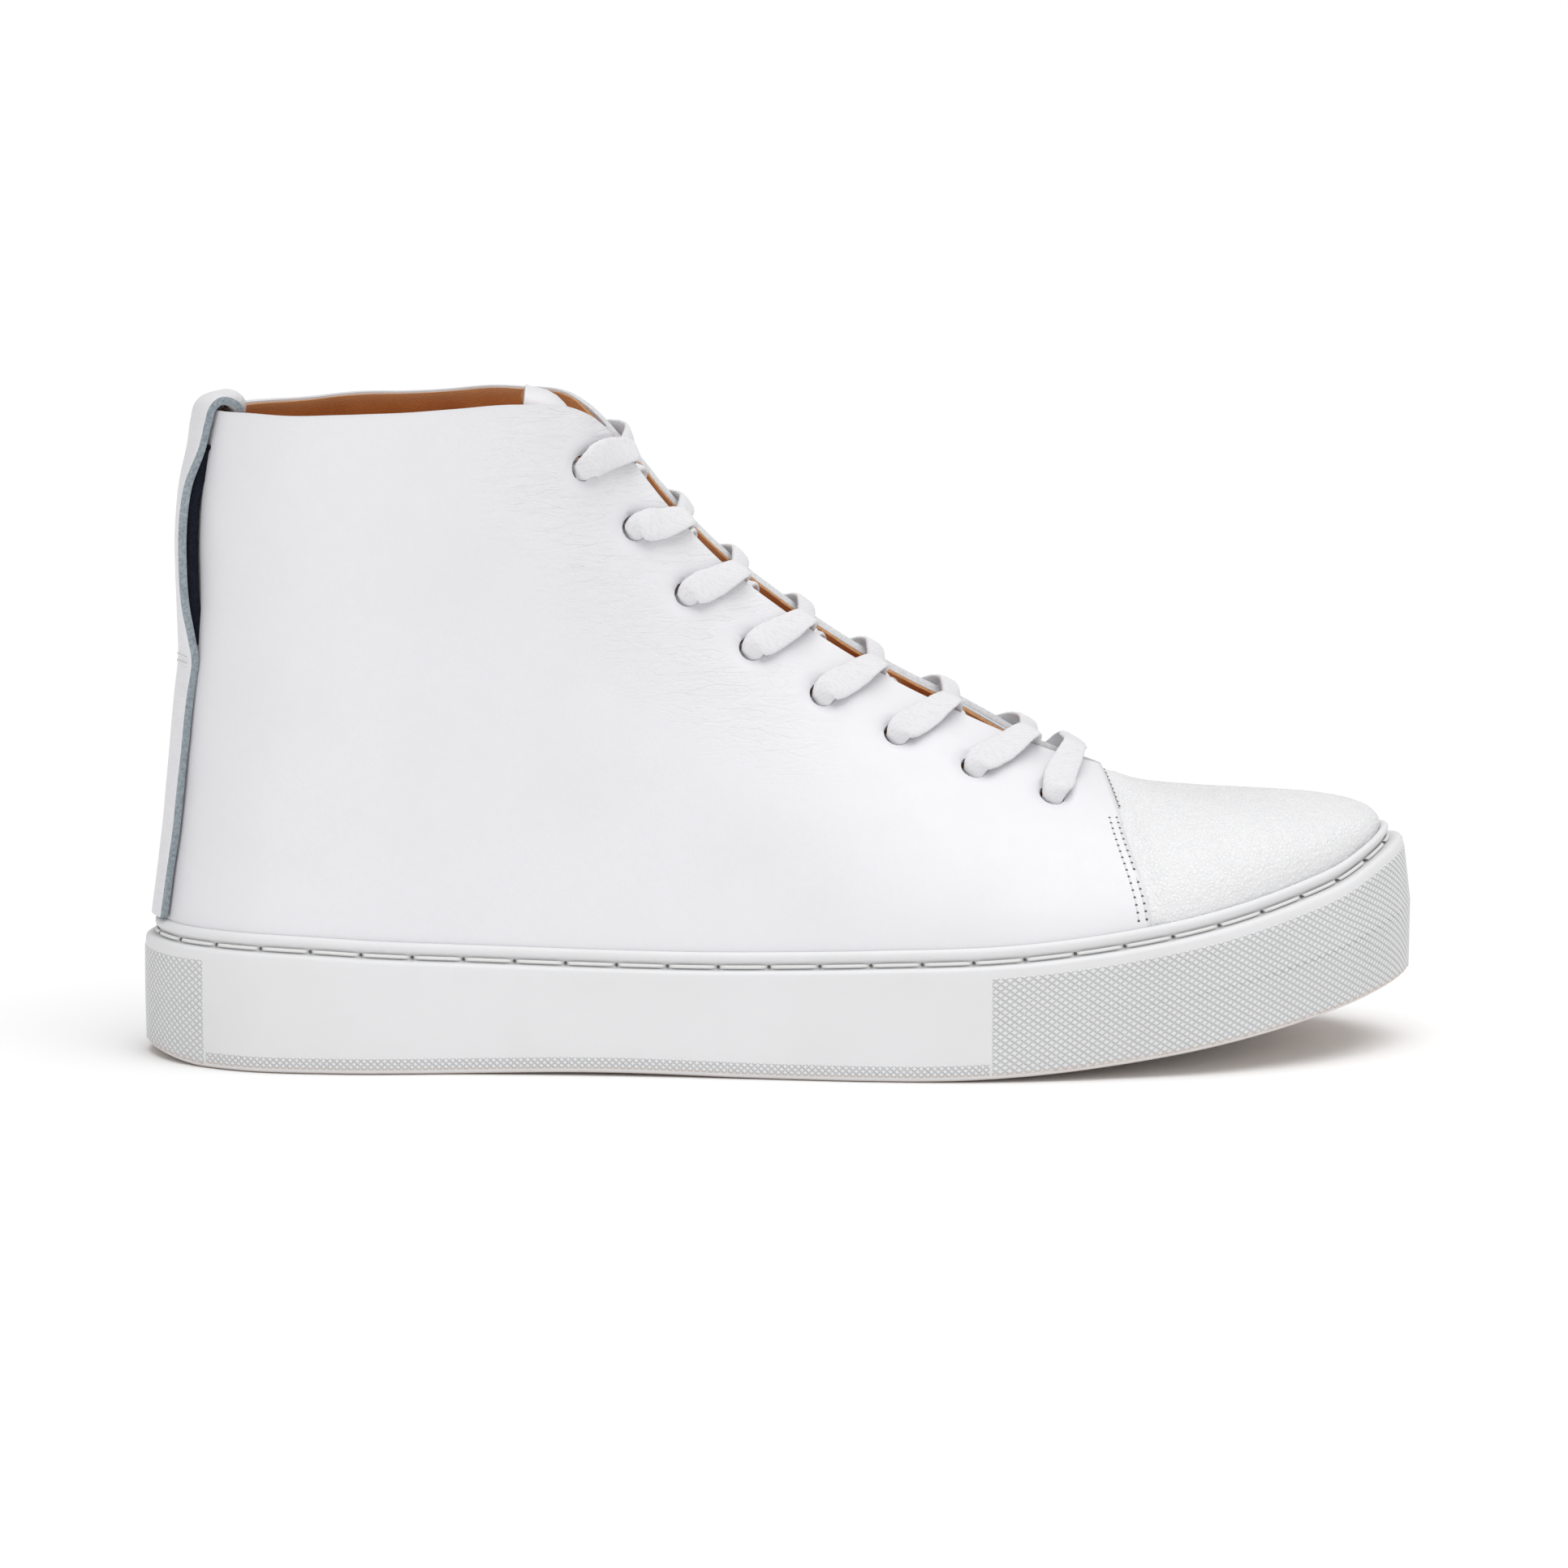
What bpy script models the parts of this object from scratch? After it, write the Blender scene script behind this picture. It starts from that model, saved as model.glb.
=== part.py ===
"""A lace-up high-top shoe for the right foot, built the way it is sewn and soled.

Design values are millimetres. +X points to the toe, +Z up and +Y to the inner (medial) side.
Side -1 is the outer (lateral) half of the upper and side +1 the inner (medial) half.
"""

import bmesh
import bpy
import numpy as np
from mathutils import Matrix, Vector

MM = 0.001
TO_CENTRE = (-0.101, 2.984, 0)  # moves the design's box to the middle of the frame
GAP = 0.3                      # clearance between neighbouring pieces
LATERAL, MEDIAL = -1, 1

# The line where the upper meets the sole, seen from above, once round from the heel.
FEATHER = [
    (-147.5, 0), (-143, -14), (-128, -27.5), (-105, -33), (-75, -34), (-40, -37.5),
    (-8, -43), (20, -48), (48, -50), (75, -47), (98, -41), (119, -30), (134, -17.5),
    (142.3, -5), (144.5, 4), (142, 14), (133, 25), (118, 35), (98, 41.5), (72, 44),
    (45, 42), (15, 36), (-15, 31.5), (-45, 31), (-75, 33), (-105, 33), (-128, 27.5), (-143, 14),
]

# Height of the sole's upper rim along the shoe, as (x, z).
RIM = [(-155, 32.5), (-125, 32.6), (-80, 30.6), (-20, 29.4), (20, 30.6), (57, 32.2),
       (81, 34.8), (105, 38.9), (121, 42.8), (132, 46), (145, 52), (160, 58)]

# Top edge of each half of the upper: up the lacing edge, round the collar, to the heel.
# The half-widths are taken on the side of each half.
TOP_EDGE = [
    (77, 1.0, 67.6), (63, 6.4, 72.3), (44, 8.2, 80.6), (28, 8.6, 88.4), (13, 9.0, 97.4),
    (0, 9.2, 106.4), (-14, 9.6, 117.6), (-27.5, 10.2, 132), (-37.5, 11.2, 145.0),
    (-42, 14, 150.6), (-49, 19.5, 155.2), (-62, 25.5, 156.6), (-77, 28.3, 155.8),
    (-92, 28.6, 155.0), (-107, 26.2, 154.6), (-122, 19.5, 154.2), (-132.5, 9, 154.0),
    (-136, 0, 154.0),
]
TOE_SPINE = [(116, 3.6, 60.2), (106, 3.2, 60.4), (95, 2.4, 61.2), (86, 1.2, 63.4), (77, 0, 67.0)]

# Where the toe seam, the front of the collar and the heel lie along each half, 0 to 1.
SEAM, CORNER = 0.20, 0.58
INNER_LIFT = 2.2               # the inner facing's edge stands this much above the outer's
FEATHER_AT = (0, 0.252, 0.66, 1)
TOP_AT = (0, 0.575, 1)

# Leather and board thicknesses, and how deep each layer's outer face lies in the upper.
LEATHER, STAY, COUNTER, LINING = 1.6, 0.7, 1.0, 0.9
STAY_DEPTH = LEATHER + GAP + 0.1
LINING_DEPTH = STAY_DEPTH + COUNTER + GAP
THIN_LINING_DEPTH = STAY_DEPTH
PUFF = 0.8
LASTED = 16                    # how far the upper reaches down inside the sole

# The sole.
TREAD = 5                      # thickness of the sole under the foot
BEAD_HEIGHT, BEAD_OUT = 2.6, 1.9
GROOVE_HEIGHT, GROOVE_DEPTH = 1.6, 1.0
WALL_OUT = 4.2                 # how far the side wall stands outside the upper
THREAD_RADIUS = 0.4
FILLER_DROP, BOARD, FOOTBED = 16.6, 2.0, 3.6
SHANK, SHANK_DROP = 1.2, 1.4   # its thickness, and its underside below the filler's top

# Lacing.
EYELETS = 8
EYELET_INSET, TOP_INSET = 16.5, 12.5   # below the lacing edge, and at the top eyelet
EYELET_RADIUS = 3.1
EYELET_START, EYELET_PITCH = 15.8, 19.9
OVER_SKEW = 0.81               # a run on the face meets the lacing edge this many pitches nearer the toe
UNDER_SKEW = 0.38              # the same for a run under the face, and for the bottom bar
LACE = (3.7, 0.55)             # half width and half thickness where the lace lies flat
LACE_FOLDED = (2.3, 0.8)       # the same where two runs cross
LACE_EDGE = (2.6, 0.6)         # the same where it turns over a lacing edge
LACE_ROUND = (1.5, 1.5)        # the same where it is bunched in an eyelet
UNDER, OVER, OVER_EDGE = 6.1, -1.35, -3.05      # depth of the lace's middle in the facing
OVER_BAR = -3.6                # the same for the bottom bar and the run next to it
CROSSINGS = (2.2, 4.4)         # depths of the upper and the lower run where two cross
AGLET_LENGTH, AGLET_RADIUS = 20, 1.4
TONGUE_DEPTH, TONGUE, TONGUE_TIP = 9.0, 1.4, 0.9
TONGUE_INSETS = (3, 13, 24)    # how far below the lacing edge the tongue's shape is taken

# The heel strap.
STRAP_HALF, STRAP = 9.5, 2.0
LOOP_OFF = 1.8                 # how far the pull loop stands off the heel
SEAM_THREAD = 0.25             # radius of the sewing thread


class Line:
    """A smooth line through a few points, read at 0 to 1 along its length."""

    def __init__(self, points, closed=False):
        points = np.array(points, float)
        if closed:
            points = np.vstack([points[-2:], points, points[:3]])
        steps = np.linalg.norm(np.diff(points, axis=0), axis=1)
        at = np.concatenate([[0], np.cumsum(steps)])
        slope = np.diff(points, axis=0) / steps[:, None]
        weight = steps[:, None]
        inner = (slope[:-1] * weight[1:] + slope[1:] * weight[:-1]) / (weight[:-1] + weight[1:])
        self.points, self.slopes = points, np.vstack([slope[:1], inner, slope[-1:]])
        first, last = (2, len(points) - 3) if closed else (0, len(points) - 1)
        self.at, self.span = at - at[first], at[last] - at[first]

    def __call__(self, where):
        where = np.asarray(where, float) * self.span
        i = np.clip(np.searchsorted(self.at, where, "right") - 1, 0, len(self.at) - 2)
        step = (self.at[i + 1] - self.at[i])[..., None]
        u = (where - self.at[i])[..., None] / step
        a, b = self.points[i], self.points[i + 1]
        da, db = self.slopes[i] * step, self.slopes[i + 1] * step
        return (a * (1 + 2 * u) * (1 - u) ** 2 + b * u * u * (3 - 2 * u)
                + da * u * (1 - u) ** 2 - db * u * u * (1 - u))


def ramp(value, low, high):
    """0 below low, 1 above high, and smooth between."""
    u = np.clip((np.asarray(value, float) - low) / (high - low), 0, 1)
    return u * u * (3 - 2 * u)


def blend(first, second, weight):
    return first + (second - first) * weight


def by_x(points):
    line = Line(points)
    table = line(np.linspace(0, 1, 400))
    return lambda x: np.interp(x, table[:, 0], table[:, 1])


rim_height = by_x(RIM)
feather_line = Line(FEATHER, closed=True)
TOE_AT = np.argmax(feather_line(np.linspace(0, 1, 2001))[:, 0]) / 2000


def sole_bottom(x):
    """Height of the tread: flat heel and ball, a shallow arch, toe spring and a bevelled heel."""
    x = np.asarray(x, float)
    spring = 17.5 * (np.clip(x - 25, 0, None) / 128) ** 1.9
    arch = 0.6 * np.sin(np.pi * np.clip((x + 88) / 90, 0, 1)) ** 2
    bevel = 2.4 * (np.clip(-138 - x, 0, None) / 14) ** 1.4
    return spring + arch + bevel


def outline(side, along, out=0.0):
    """The plan of the upper at the sole, from the toe (0) to the heel (1), moved outwards."""
    along = np.asarray(along, float)
    heel = 0 if side == LATERAL else 1
    at = blend(TOE_AT, heel, along)
    here = feather_line(at)
    ahead = feather_line(np.clip(at + 0.001, 0, 1)) - feather_line(np.clip(at - 0.001, 0, 1))
    normal = np.stack([ahead[..., 1], -ahead[..., 0]], -1)
    normal /= np.linalg.norm(normal, axis=-1, keepdims=True)
    return here + normal * np.asarray(out, float)[..., None]


top_lines = {side: Line([(x, side * y, z) for x, y, z in TOP_EDGE]) for side in (LATERAL, MEDIAL)}
spine = Line(TOE_SPINE)
wall_lean = by_x([(0, 0), (0.2, 0.27), (0.4, 0.48), (0.6, 0.68), (0.8, 0.72), (0.92, 0.86), (1, 1)])


def top_point(side, t):
    """The upper's top edge: the ridge over the toe, then the lacing edge and the collar."""
    t = np.asarray(t, float)
    ridge = spine(np.clip(t / SEAM, 0, 1))
    edge = top_lines[side](np.interp(t, (SEAM, CORNER, 1), TOP_AT))
    if side == MEDIAL:
        lift = INNER_LIFT * ramp(t, 0.23, 0.30) * (1 - ramp(t, 0.53, CORNER))
        edge = edge + lift[..., None] * (0, 0, 1)
    return np.where((t < SEAM)[..., None], ridge, edge)


def upper_point(side, t, s):
    """A point of the upper's outer face: t from the toe to the heel, s from the sole up."""
    t, s = np.broadcast_arrays(np.asarray(t, float), np.asarray(s, float))
    along = np.interp(t, (0, SEAM, CORNER, 1), FEATHER_AT)
    foot_xy = outline(side, along)
    foot = np.concatenate([foot_xy, rim_height(foot_xy[..., 0])[..., None]], -1)
    top = top_point(side, t)
    up = np.clip(s, 0, 1)
    angle = up * np.pi / 2
    tent, wall = ramp(t, 0.08, 0.26), ramp(t, 0.35, 0.78)
    across = blend(blend(1 - np.cos(angle) ** 0.9, up ** 1.35, tent), wall_lean(up), wall)
    rise = blend(blend(np.sin(angle) ** 0.82, up ** 0.95, tent), up, wall)
    point = foot.copy()
    point[..., :2] += (top - foot)[..., :2] * across[..., None]
    point[..., 2] += (top - foot)[..., 2] * rise + np.minimum(s, 0) * LASTED
    return point


def upper_normal(side, t, s):
    t, s = np.broadcast_arrays(np.asarray(t, float), np.asarray(s, float))
    d = 0.004
    along = upper_point(side, np.clip(t + d, 0, 1), s) - upper_point(side, np.clip(t - d, 0, 1), s)
    low, high = np.clip(s, d, 1 - d) - d, np.clip(s, d, 1 - d) + d
    up = upper_point(side, t, high) - upper_point(side, t, low)
    normal = np.cross(along, up) * side
    return normal / np.linalg.norm(normal, axis=-1, keepdims=True)


def upper_at(side, t, s, depth=0.0):
    return upper_point(side, t, s) - upper_normal(side, t, s) * np.asarray(depth, float)[..., None]


# ---- Blender helpers ----------------------------------------------------------------------

for old in list(bpy.data.objects):
    bpy.data.objects.remove(old, do_unlink=True)

SHOE = bpy.data.collections.new("high_top")
CUTTERS = bpy.data.collections.new("cutters")
bpy.context.scene.collection.children.link(SHOE)
bpy.context.scene.collection.children.link(CUTTERS)
CUTTERS.hide_render = True
ORIGIN = bpy.data.objects.new("shoe_origin", None)
ORIGIN.location = Vector(TO_CENTRE) * MM
SHOE.objects.link(ORIGIN)


def material(name, colour, roughness, metallic=0.0):
    made = bpy.data.materials.new(name)
    made.use_nodes = True
    shader = made.node_tree.nodes["Principled BSDF"]
    shader.inputs["Base Color"].default_value = (*colour, 1)
    shader.inputs["Roughness"].default_value = roughness
    shader.inputs["Metallic"].default_value = metallic
    return made


WHITE_LEATHER = material("white_leather", (0.86, 0.86, 0.85), 0.5)
GRAIN_LEATHER = material("white_grain_leather", (0.87, 0.87, 0.86), 0.55)
TAN_LEATHER = material("tan_leather", (0.62, 0.29, 0.11), 0.6)
RUBBER = material("off_white_rubber", (0.74, 0.74, 0.72), 0.6)
COTTON = material("white_cotton", (0.85, 0.85, 0.84), 0.9)
THREAD = material("white_thread", (0.82, 0.82, 0.8), 0.7)
FOAM = material("grey_foam", (0.55, 0.55, 0.56), 0.9)
FIBRE = material("brown_fibreboard", (0.38, 0.27, 0.17), 0.9)
STEEL = material("spring_steel", (0.5, 0.5, 0.52), 0.35, 1.0)
CLEAR = material("clear_plastic", (0.75, 0.75, 0.75), 0.2)


def new_object(name, mesh, look):
    mesh.materials.append(look)
    made = bpy.data.objects.new(name, mesh)
    made.parent = ORIGIN
    SHOE.objects.link(made)
    return made


def as_cutter(obj):
    SHOE.objects.unlink(obj)
    CUTTERS.objects.link(obj)
    obj.hide_render = True
    obj.display_type = "WIRE"
    return obj


def add_grid(bm, points, flip):
    rows, columns = points.shape[:2]
    made = [[bm.verts.new(points[i, j] * MM) for j in range(columns)] for i in range(rows)]
    for i in range(rows - 1):
        for j in range(columns - 1):
            corners = [made[i][j], made[i][j + 1], made[i + 1][j + 1], made[i + 1][j]]
            bm.faces.new(corners if flip else corners[::-1])


def sheet(name, grids, thickness, look, flip=False):
    """An open surface from one grid of points, or from a half on each side of the shoe that
    share their meeting points, made solid inwards from its outer face."""
    bm = bmesh.new()
    if isinstance(grids, dict):
        for side, points in grids.items():
            add_grid(bm, points, flip=side == MEDIAL)
    else:
        add_grid(bm, grids, flip)
    bmesh.ops.remove_doubles(bm, verts=bm.verts, dist=1e-6)
    mesh = bpy.data.meshes.new(name)
    bm.to_mesh(mesh)
    bm.free()
    obj = new_object(name, mesh, look)
    solid = obj.modifiers.new("thickness", "SOLIDIFY")
    solid.thickness = thickness * MM
    solid.offset = -1
    return obj


def loft(name, rings, look, ladder_caps=False):
    """A solid between rings of equal point counts. Ladder caps join the two sides rung by rung."""
    count = len(rings[0])
    bm = bmesh.new()
    made = [[bm.verts.new(point * MM) for point in ring] for ring in rings]
    for lower, upper in zip(made, made[1:]):
        for i in range(count):
            j = (i + 1) % count
            bm.faces.new((lower[i], lower[j], upper[j], upper[i]))
    for ring in (made[0], made[-1]):
        if not ladder_caps:
            bm.faces.new(ring)
            continue
        half = count // 2
        for i in range(half):
            rung = [ring[i], ring[i + 1], ring[(count - i - 1) % count], ring[(count - i) % count]]
            bm.faces.new(list(dict.fromkeys(rung)))
    bmesh.ops.recalc_face_normals(bm, faces=bm.faces)
    mesh = bpy.data.meshes.new(name)
    bm.to_mesh(mesh)
    bm.free()
    return new_object(name, mesh, look)


def cord(name, points, radius, look, cyclic=False, resolution=0):
    data = bpy.data.curves.new(name, "CURVE")
    data.dimensions = "3D"
    data.bevel_depth = radius * MM
    data.bevel_resolution = resolution
    data.use_fill_caps = True
    spline = data.splines.new("POLY")
    spline.points.add(len(points) - 1)
    for slot, point in zip(spline.points, points):
        slot.co = (*(point * MM), 1)
    spline.use_cyclic_u = cyclic
    return new_object(name, data, look)


def cut(obj, cutter):
    boolean = obj.modifiers.new("cut " + cutter.name, "BOOLEAN")
    boolean.operation = "DIFFERENCE"
    boolean.solver = "EXACT"
    boolean.object = cutter


# ---- The sole -----------------------------------------------------------------------------

RING = np.linspace(0, 1, 41)


def sole_ring(out, height, flare=0.0):
    """A closed ring round the shoe. Height is a function of x, and flare widens the toe."""
    points = []
    for side, along in ((LATERAL, RING), (MEDIAL, RING[::-1][1:-1])):
        plan = outline(side, along)
        toe = ramp(plan[:, 0], 70, 140)
        xy = outline(side, along, out + flare * toe)
        points.append(np.column_stack([xy, height(xy[:, 0])]))
    return np.vstack(points)


def wall_height(fraction, drop=0.0):
    """A height between the tread and the rim."""
    return lambda x: sole_bottom(x) + (rim_height(x) - drop - sole_bottom(x)) * fraction


def below_rim(drop):
    return lambda x: rim_height(x) - drop


def above_tread(rise):
    return lambda x: sole_bottom(x) + rise


def make_sole():
    shoulder = BEAD_HEIGHT + GROOVE_HEIGHT
    rings = [
        sole_ring(WALL_OUT - 1.6, above_tread(0), 2.4),
        sole_ring(WALL_OUT - 0.2, above_tread(1.2), 3.2),
        sole_ring(WALL_OUT, wall_height(0.5, shoulder), 3.2),
        sole_ring(WALL_OUT - 0.2, below_rim(shoulder + 1.0), 1.6),
        sole_ring(WALL_OUT - 1.0, below_rim(shoulder), 1.2),
        sole_ring(BEAD_OUT - GROOVE_DEPTH, below_rim(shoulder - 0.1), 0.4),
        sole_ring(BEAD_OUT - GROOVE_DEPTH, below_rim(BEAD_HEIGHT), 0.4),
        sole_ring(BEAD_OUT, below_rim(BEAD_HEIGHT - 0.6), 0.4),
        sole_ring(BEAD_OUT, below_rim(0.8), 0.4),
        sole_ring(BEAD_OUT - 0.7, below_rim(0), 0.3),
        sole_ring(GAP, below_rim(0)),
        sole_ring(GAP, above_tread(TREAD)),
    ]
    loft("cupsole", rings, RUBBER, ladder_caps=True)
    thread = sole_ring(BEAD_OUT + 0.1, below_rim(BEAD_HEIGHT + GROOVE_HEIGHT / 2), 0.4)
    cord("sidewall_thread", thread, THREAD_RADIUS, THREAD, cyclic=True)


def make_fill():
    lining_in = LINING_DEPTH + LINING
    filler = loft("midsole_filler", [sole_ring(0, above_tread(TREAD + GAP)),
                                     sole_ring(0, below_rim(FILLER_DROP))], FOAM, ladder_caps=True)
    top = FILLER_DROP - GAP
    inside = -(lining_in + 3 * GAP)
    loft("insole_board", [sole_ring(inside, below_rim(top)),
                          sole_ring(inside, below_rim(top - BOARD))], FIBRE, ladder_caps=True)
    bed = top - BOARD - GAP
    loft("footbed", [sole_ring(inside, below_rim(bed)),
                     sole_ring(inside, below_rim(bed - FOOTBED))], TAN_LEATHER, ladder_caps=True)

    def bar(name, grow, top_grow, look):
        """A thin bar along the middle of the shoe that follows the filler's top."""
        x = np.linspace(-95 - grow, 5 + grow, 9)
        half = 8 + grow
        base = rim_height(x) - FILLER_DROP - SHANK_DROP - grow
        top = base + SHANK + top_grow
        corners = ((-half, base), (half, base), (half, top), (-half, top))
        sections = np.stack([np.stack([x, 0 * x + y, z], 1) for y, z in corners], 1)
        return loft(name, sections, look)

    bar("shank", 0, 0, STEEL)
    cut(filler, as_cutter(bar("shank_pocket", GAP, 3, STEEL)))


# ---- The upper ----------------------------------------------------------------------------

# Stations along each half, shared by its layers so that they stay parallel.
TOE_STATIONS = np.linspace(0, SEAM, 13)
STATIONS = np.linspace(SEAM, 0.995, 31)
HEIGHTS = np.concatenate([[-1], np.linspace(0, 1, 11)])


def half_grid(side, t, s, depth):
    t, s = np.meshgrid(t, s)
    return upper_at(side, t, s, depth(t, s) if callable(depth) else depth + 0 * t)


def toe_grids(t, s, depth):
    """The two halves of a layer over the toe, which meet at the tip and along the ridge."""
    t, s = np.meshgrid(t, s)
    # At the ridge's front end its direction and the profile's are the same, so look further on.
    read_at = np.where(s == 1, np.maximum(t, 0.02), t)
    normals = {side: upper_normal(side, read_at, s) for side in (LATERAL, MEDIAL)}
    both = normals[LATERAL] + normals[MEDIAL]
    both /= np.linalg.norm(both, axis=-1, keepdims=True)
    meeting = ((s == 1) | (t == 0))[..., None]
    deep = (depth(t, s) if callable(depth) else depth + 0 * t)[..., None]
    return {side: upper_point(side, t, s) - np.where(meeting, both, normals[side]) * deep
            for side in (LATERAL, MEDIAL)}


def lining_depth(t, s):
    """The lining lies deeper where the heel counter or the lace stay is behind it."""
    heel = ramp(t, 0.66, 0.71) * (1 - ramp(s, 0.50, 0.60))
    facing = (1 - ramp(t, CORNER + 0.02, CORNER + 0.05)) * ramp(s, 0.50, 0.60)
    return blend(THIN_LINING_DEPTH, LINING_DEPTH, np.maximum(heel, facing))


def make_half(side, word):
    flip = side == MEDIAL
    behind_cap = STATIONS[2:]
    face = half_grid(side, STATIONS, HEIGHTS, 0)
    quarter = sheet(word + "_quarter", face, LEATHER, WHITE_LEATHER, flip)
    inside = half_grid(side, behind_cap, HEIGHTS, lining_depth)
    lining = sheet(word + "_lining", inside, LINING, TAN_LEATHER, flip)
    stay_t = behind_cap[behind_cap < CORNER]
    stay_s = HEIGHTS[HEIGHTS > 0.65]
    stay = sheet(word + "_eyelet_stay", half_grid(side, stay_t, stay_s, STAY_DEPTH), STAY, FIBRE, flip)
    holes = eyelet_cutter(side, word)
    for piece in (quarter, lining, stay):
        cut(piece, holes)


def cap_depth(t, s):
    """The toe cap dips under the quarters towards the seam."""
    return (LEATHER + GAP) * ramp(t, SEAM - 0.045, SEAM - 0.008)


def make_toe():
    cap_t = np.concatenate([TOE_STATIONS, STATIONS[1:2]])
    sheet("toe_cap", toe_grids(cap_t, HEIGHTS, cap_depth), LEATHER, GRAIN_LEATHER)
    puff = LEATHER + 2 * GAP
    puff_t = TOE_STATIONS[TOE_STATIONS < SEAM - 0.05]
    sheet("toe_puff", toe_grids(puff_t, HEIGHTS, puff), PUFF, FIBRE)

    def behind_puff(t, s):
        return puff + PUFF + 2 * GAP + 0.35 * ramp(t, SEAM - 0.06, SEAM - 0.02)

    lining_t = TOE_STATIONS[TOE_STATIONS < SEAM - 0.01]
    sheet("vamp_lining", toe_grids(lining_t, HEIGHTS, behind_puff), LINING, COTTON)


def make_counter():
    t = STATIONS[STATIONS > 0.72]
    s = np.concatenate([[-0.9], HEIGHTS[(HEIGHTS >= 0) & (HEIGHTS < 0.5)]])
    near, far = half_grid(LATERAL, t, s, STAY_DEPTH), half_grid(MEDIAL, t, s, STAY_DEPTH)
    sheet("heel_counter", np.hstack([near, far[:, ::-1]]), COUNTER, FIBRE)


# ---- Lacing -------------------------------------------------------------------------------

def below_edge(side, t, distance):
    """The height s at which the face of the upper is a distance below its top edge."""
    s = np.linspace(1, 0.2, 161)
    line = upper_point(side, np.full_like(s, t), s)
    walked = np.concatenate([[0], np.cumsum(np.linalg.norm(np.diff(line, axis=0), axis=1))])
    return np.interp(distance, walked, s)


def eyelet_inset(t):
    """How far below the lacing edge the row of eyelets runs, nearer to it by the collar."""
    return blend(EYELET_INSET, TOP_INSET, ramp(t, CORNER - 0.07, CORNER))


def eyelet_stations(side):
    """Where each eyelet lies along its half, evenly spaced from the toe up to the collar."""
    t = np.linspace(SEAM, CORNER + 0.03, 160)
    line = np.array([inset_point(side, one, eyelet_inset(one)) for one in t])
    walked = np.concatenate([[0], np.cumsum(np.linalg.norm(np.diff(line, axis=0), axis=1))])
    return np.interp(EYELET_START + EYELET_PITCH * np.arange(EYELETS), walked, t)


def inset_point(side, t, inset, depth=0.0):
    """A point a distance below the top edge and a depth inside the upper's face."""
    return upper_at(side, t, below_edge(side, t, inset), depth)


def inset_normal(side, t, inset):
    return upper_normal(side, t, below_edge(side, t, inset))


EYELET_T = {side: eyelet_stations(side) for side in (LATERAL, MEDIAL)}


def eyelet_cutter(side, word):
    name = word + "_eyelet_holes"
    bm = bmesh.new()
    for t in EYELET_T[side]:
        inset = eyelet_inset(t)
        centre, normal = inset_point(side, t, inset, 2), inset_normal(side, t, inset)
        turn = Vector(normal).to_track_quat("Z", "Y").to_matrix().to_4x4()
        place = Matrix.Translation(Vector(centre * MM)) @ turn
        bmesh.ops.create_cone(bm, cap_ends=True, segments=12, radius1=EYELET_RADIUS * MM,
                              radius2=EYELET_RADIUS * MM, depth=9 * MM, matrix=place)
    mesh = bpy.data.meshes.new(name)
    bm.to_mesh(mesh)
    bm.free()
    return as_cutter(new_object(name, mesh, STEEL))


def lace_strand(side):
    """Half of the lace, from the middle of its bottom bar to its end inside the collar.

    Each stop is a point, the direction away from the foot there, and the lace's half sizes.
    """
    t = EYELET_T
    pitch = (t[side][-1] - t[side][0]) / (EYELETS - 1)

    def stop(on, station, inset, depth, size, skew=UNDER_SKEW):
        station = station - skew * pitch * (1 - min(inset / eyelet_inset(station), 1))
        return inset_point(on, station, inset, depth), inset_normal(on, station, inset), size

    def between(on, station, share, depth, size):
        """A stop over the tongue, part of the way from one lacing edge to the other."""
        a, b = (stop(to, station, 0, depth, size, 0) for to in (on, -on))
        normal = a[1] + b[1]
        return blend(a[0], b[0], share), normal / np.linalg.norm(normal), size

    on = side
    bar = t[on][0] - UNDER_SKEW * pitch
    stops = [between(on, bar, 0.5, OVER_BAR, LACE)]
    stops.append(stop(on, t[on][0], 0.2, OVER_BAR, LACE_EDGE))
    for i in range(EYELETS):
        here = t[on][i]
        hole = eyelet_inset(here)
        skew = OVER_SKEW if i else UNDER_SKEW
        stops.append(stop(on, here, hole - 7, OVER, LACE, skew))
        stops.append(stop(on, here, hole - 1.2, OVER - 0.4, (2.2, 1.2), skew))
        stops.append(stop(on, here, hole, 1.5, LACE_ROUND))
        stops.append(stop(on, here, hole, 4.9, LACE_ROUND))
        if i == EYELETS - 1:
            break
        other = -on
        above = (side == LATERAL) == (i % 2 == 0)
        level = CROSSINGS[0] if above else CROSSINGS[1]
        ahead = t[other][i + 1]
        leaves = blend(here, ahead, 0.22) - UNDER_SKEW * pitch
        arrives = ahead - OVER_SKEW * pitch
        stops.append(stop(on, blend(here, ahead, 0.06), hole - 5, UNDER, (2.6, 0.8)))
        stops.append(stop(on, blend(here, ahead, 0.14), 4.5, UNDER, LACE_FOLDED))
        stops.append(stop(on, leaves, 0.2, UNDER - 0.1, LACE_FOLDED, 0))
        for share, depth in ((0.40, level + 0.15), (0.60, level - 0.15)):
            stops.append(between(on, blend(leaves, arrives, share), share, depth, LACE_FOLDED))
        stops.append(between(other, arrives, 0.07, OVER_EDGE if i else OVER_BAR, LACE_EDGE))
        on = other
    last = t[on][-1]
    for ahead, inset, depth, size in ((0.015, 20, 5.2, (2.6, 0.8)), (0.045, 28, 5.4, LACE),
                                      (0.075, 38, 6.2, LACE), (0.095, 50, 7.4, LACE)):
        stops.append(stop(on, last + ahead, inset, depth, size))
    return stops


def lace_stops():
    return lace_strand(LATERAL)[::-1] + lace_strand(MEDIAL)[1:]


OCTAGON = [(1, 0.4), (0.72, 1), (-0.72, 1), (-1, 0.4), (-1, -0.4), (-0.72, -1), (0.72, -1), (1, -0.4)]


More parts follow.
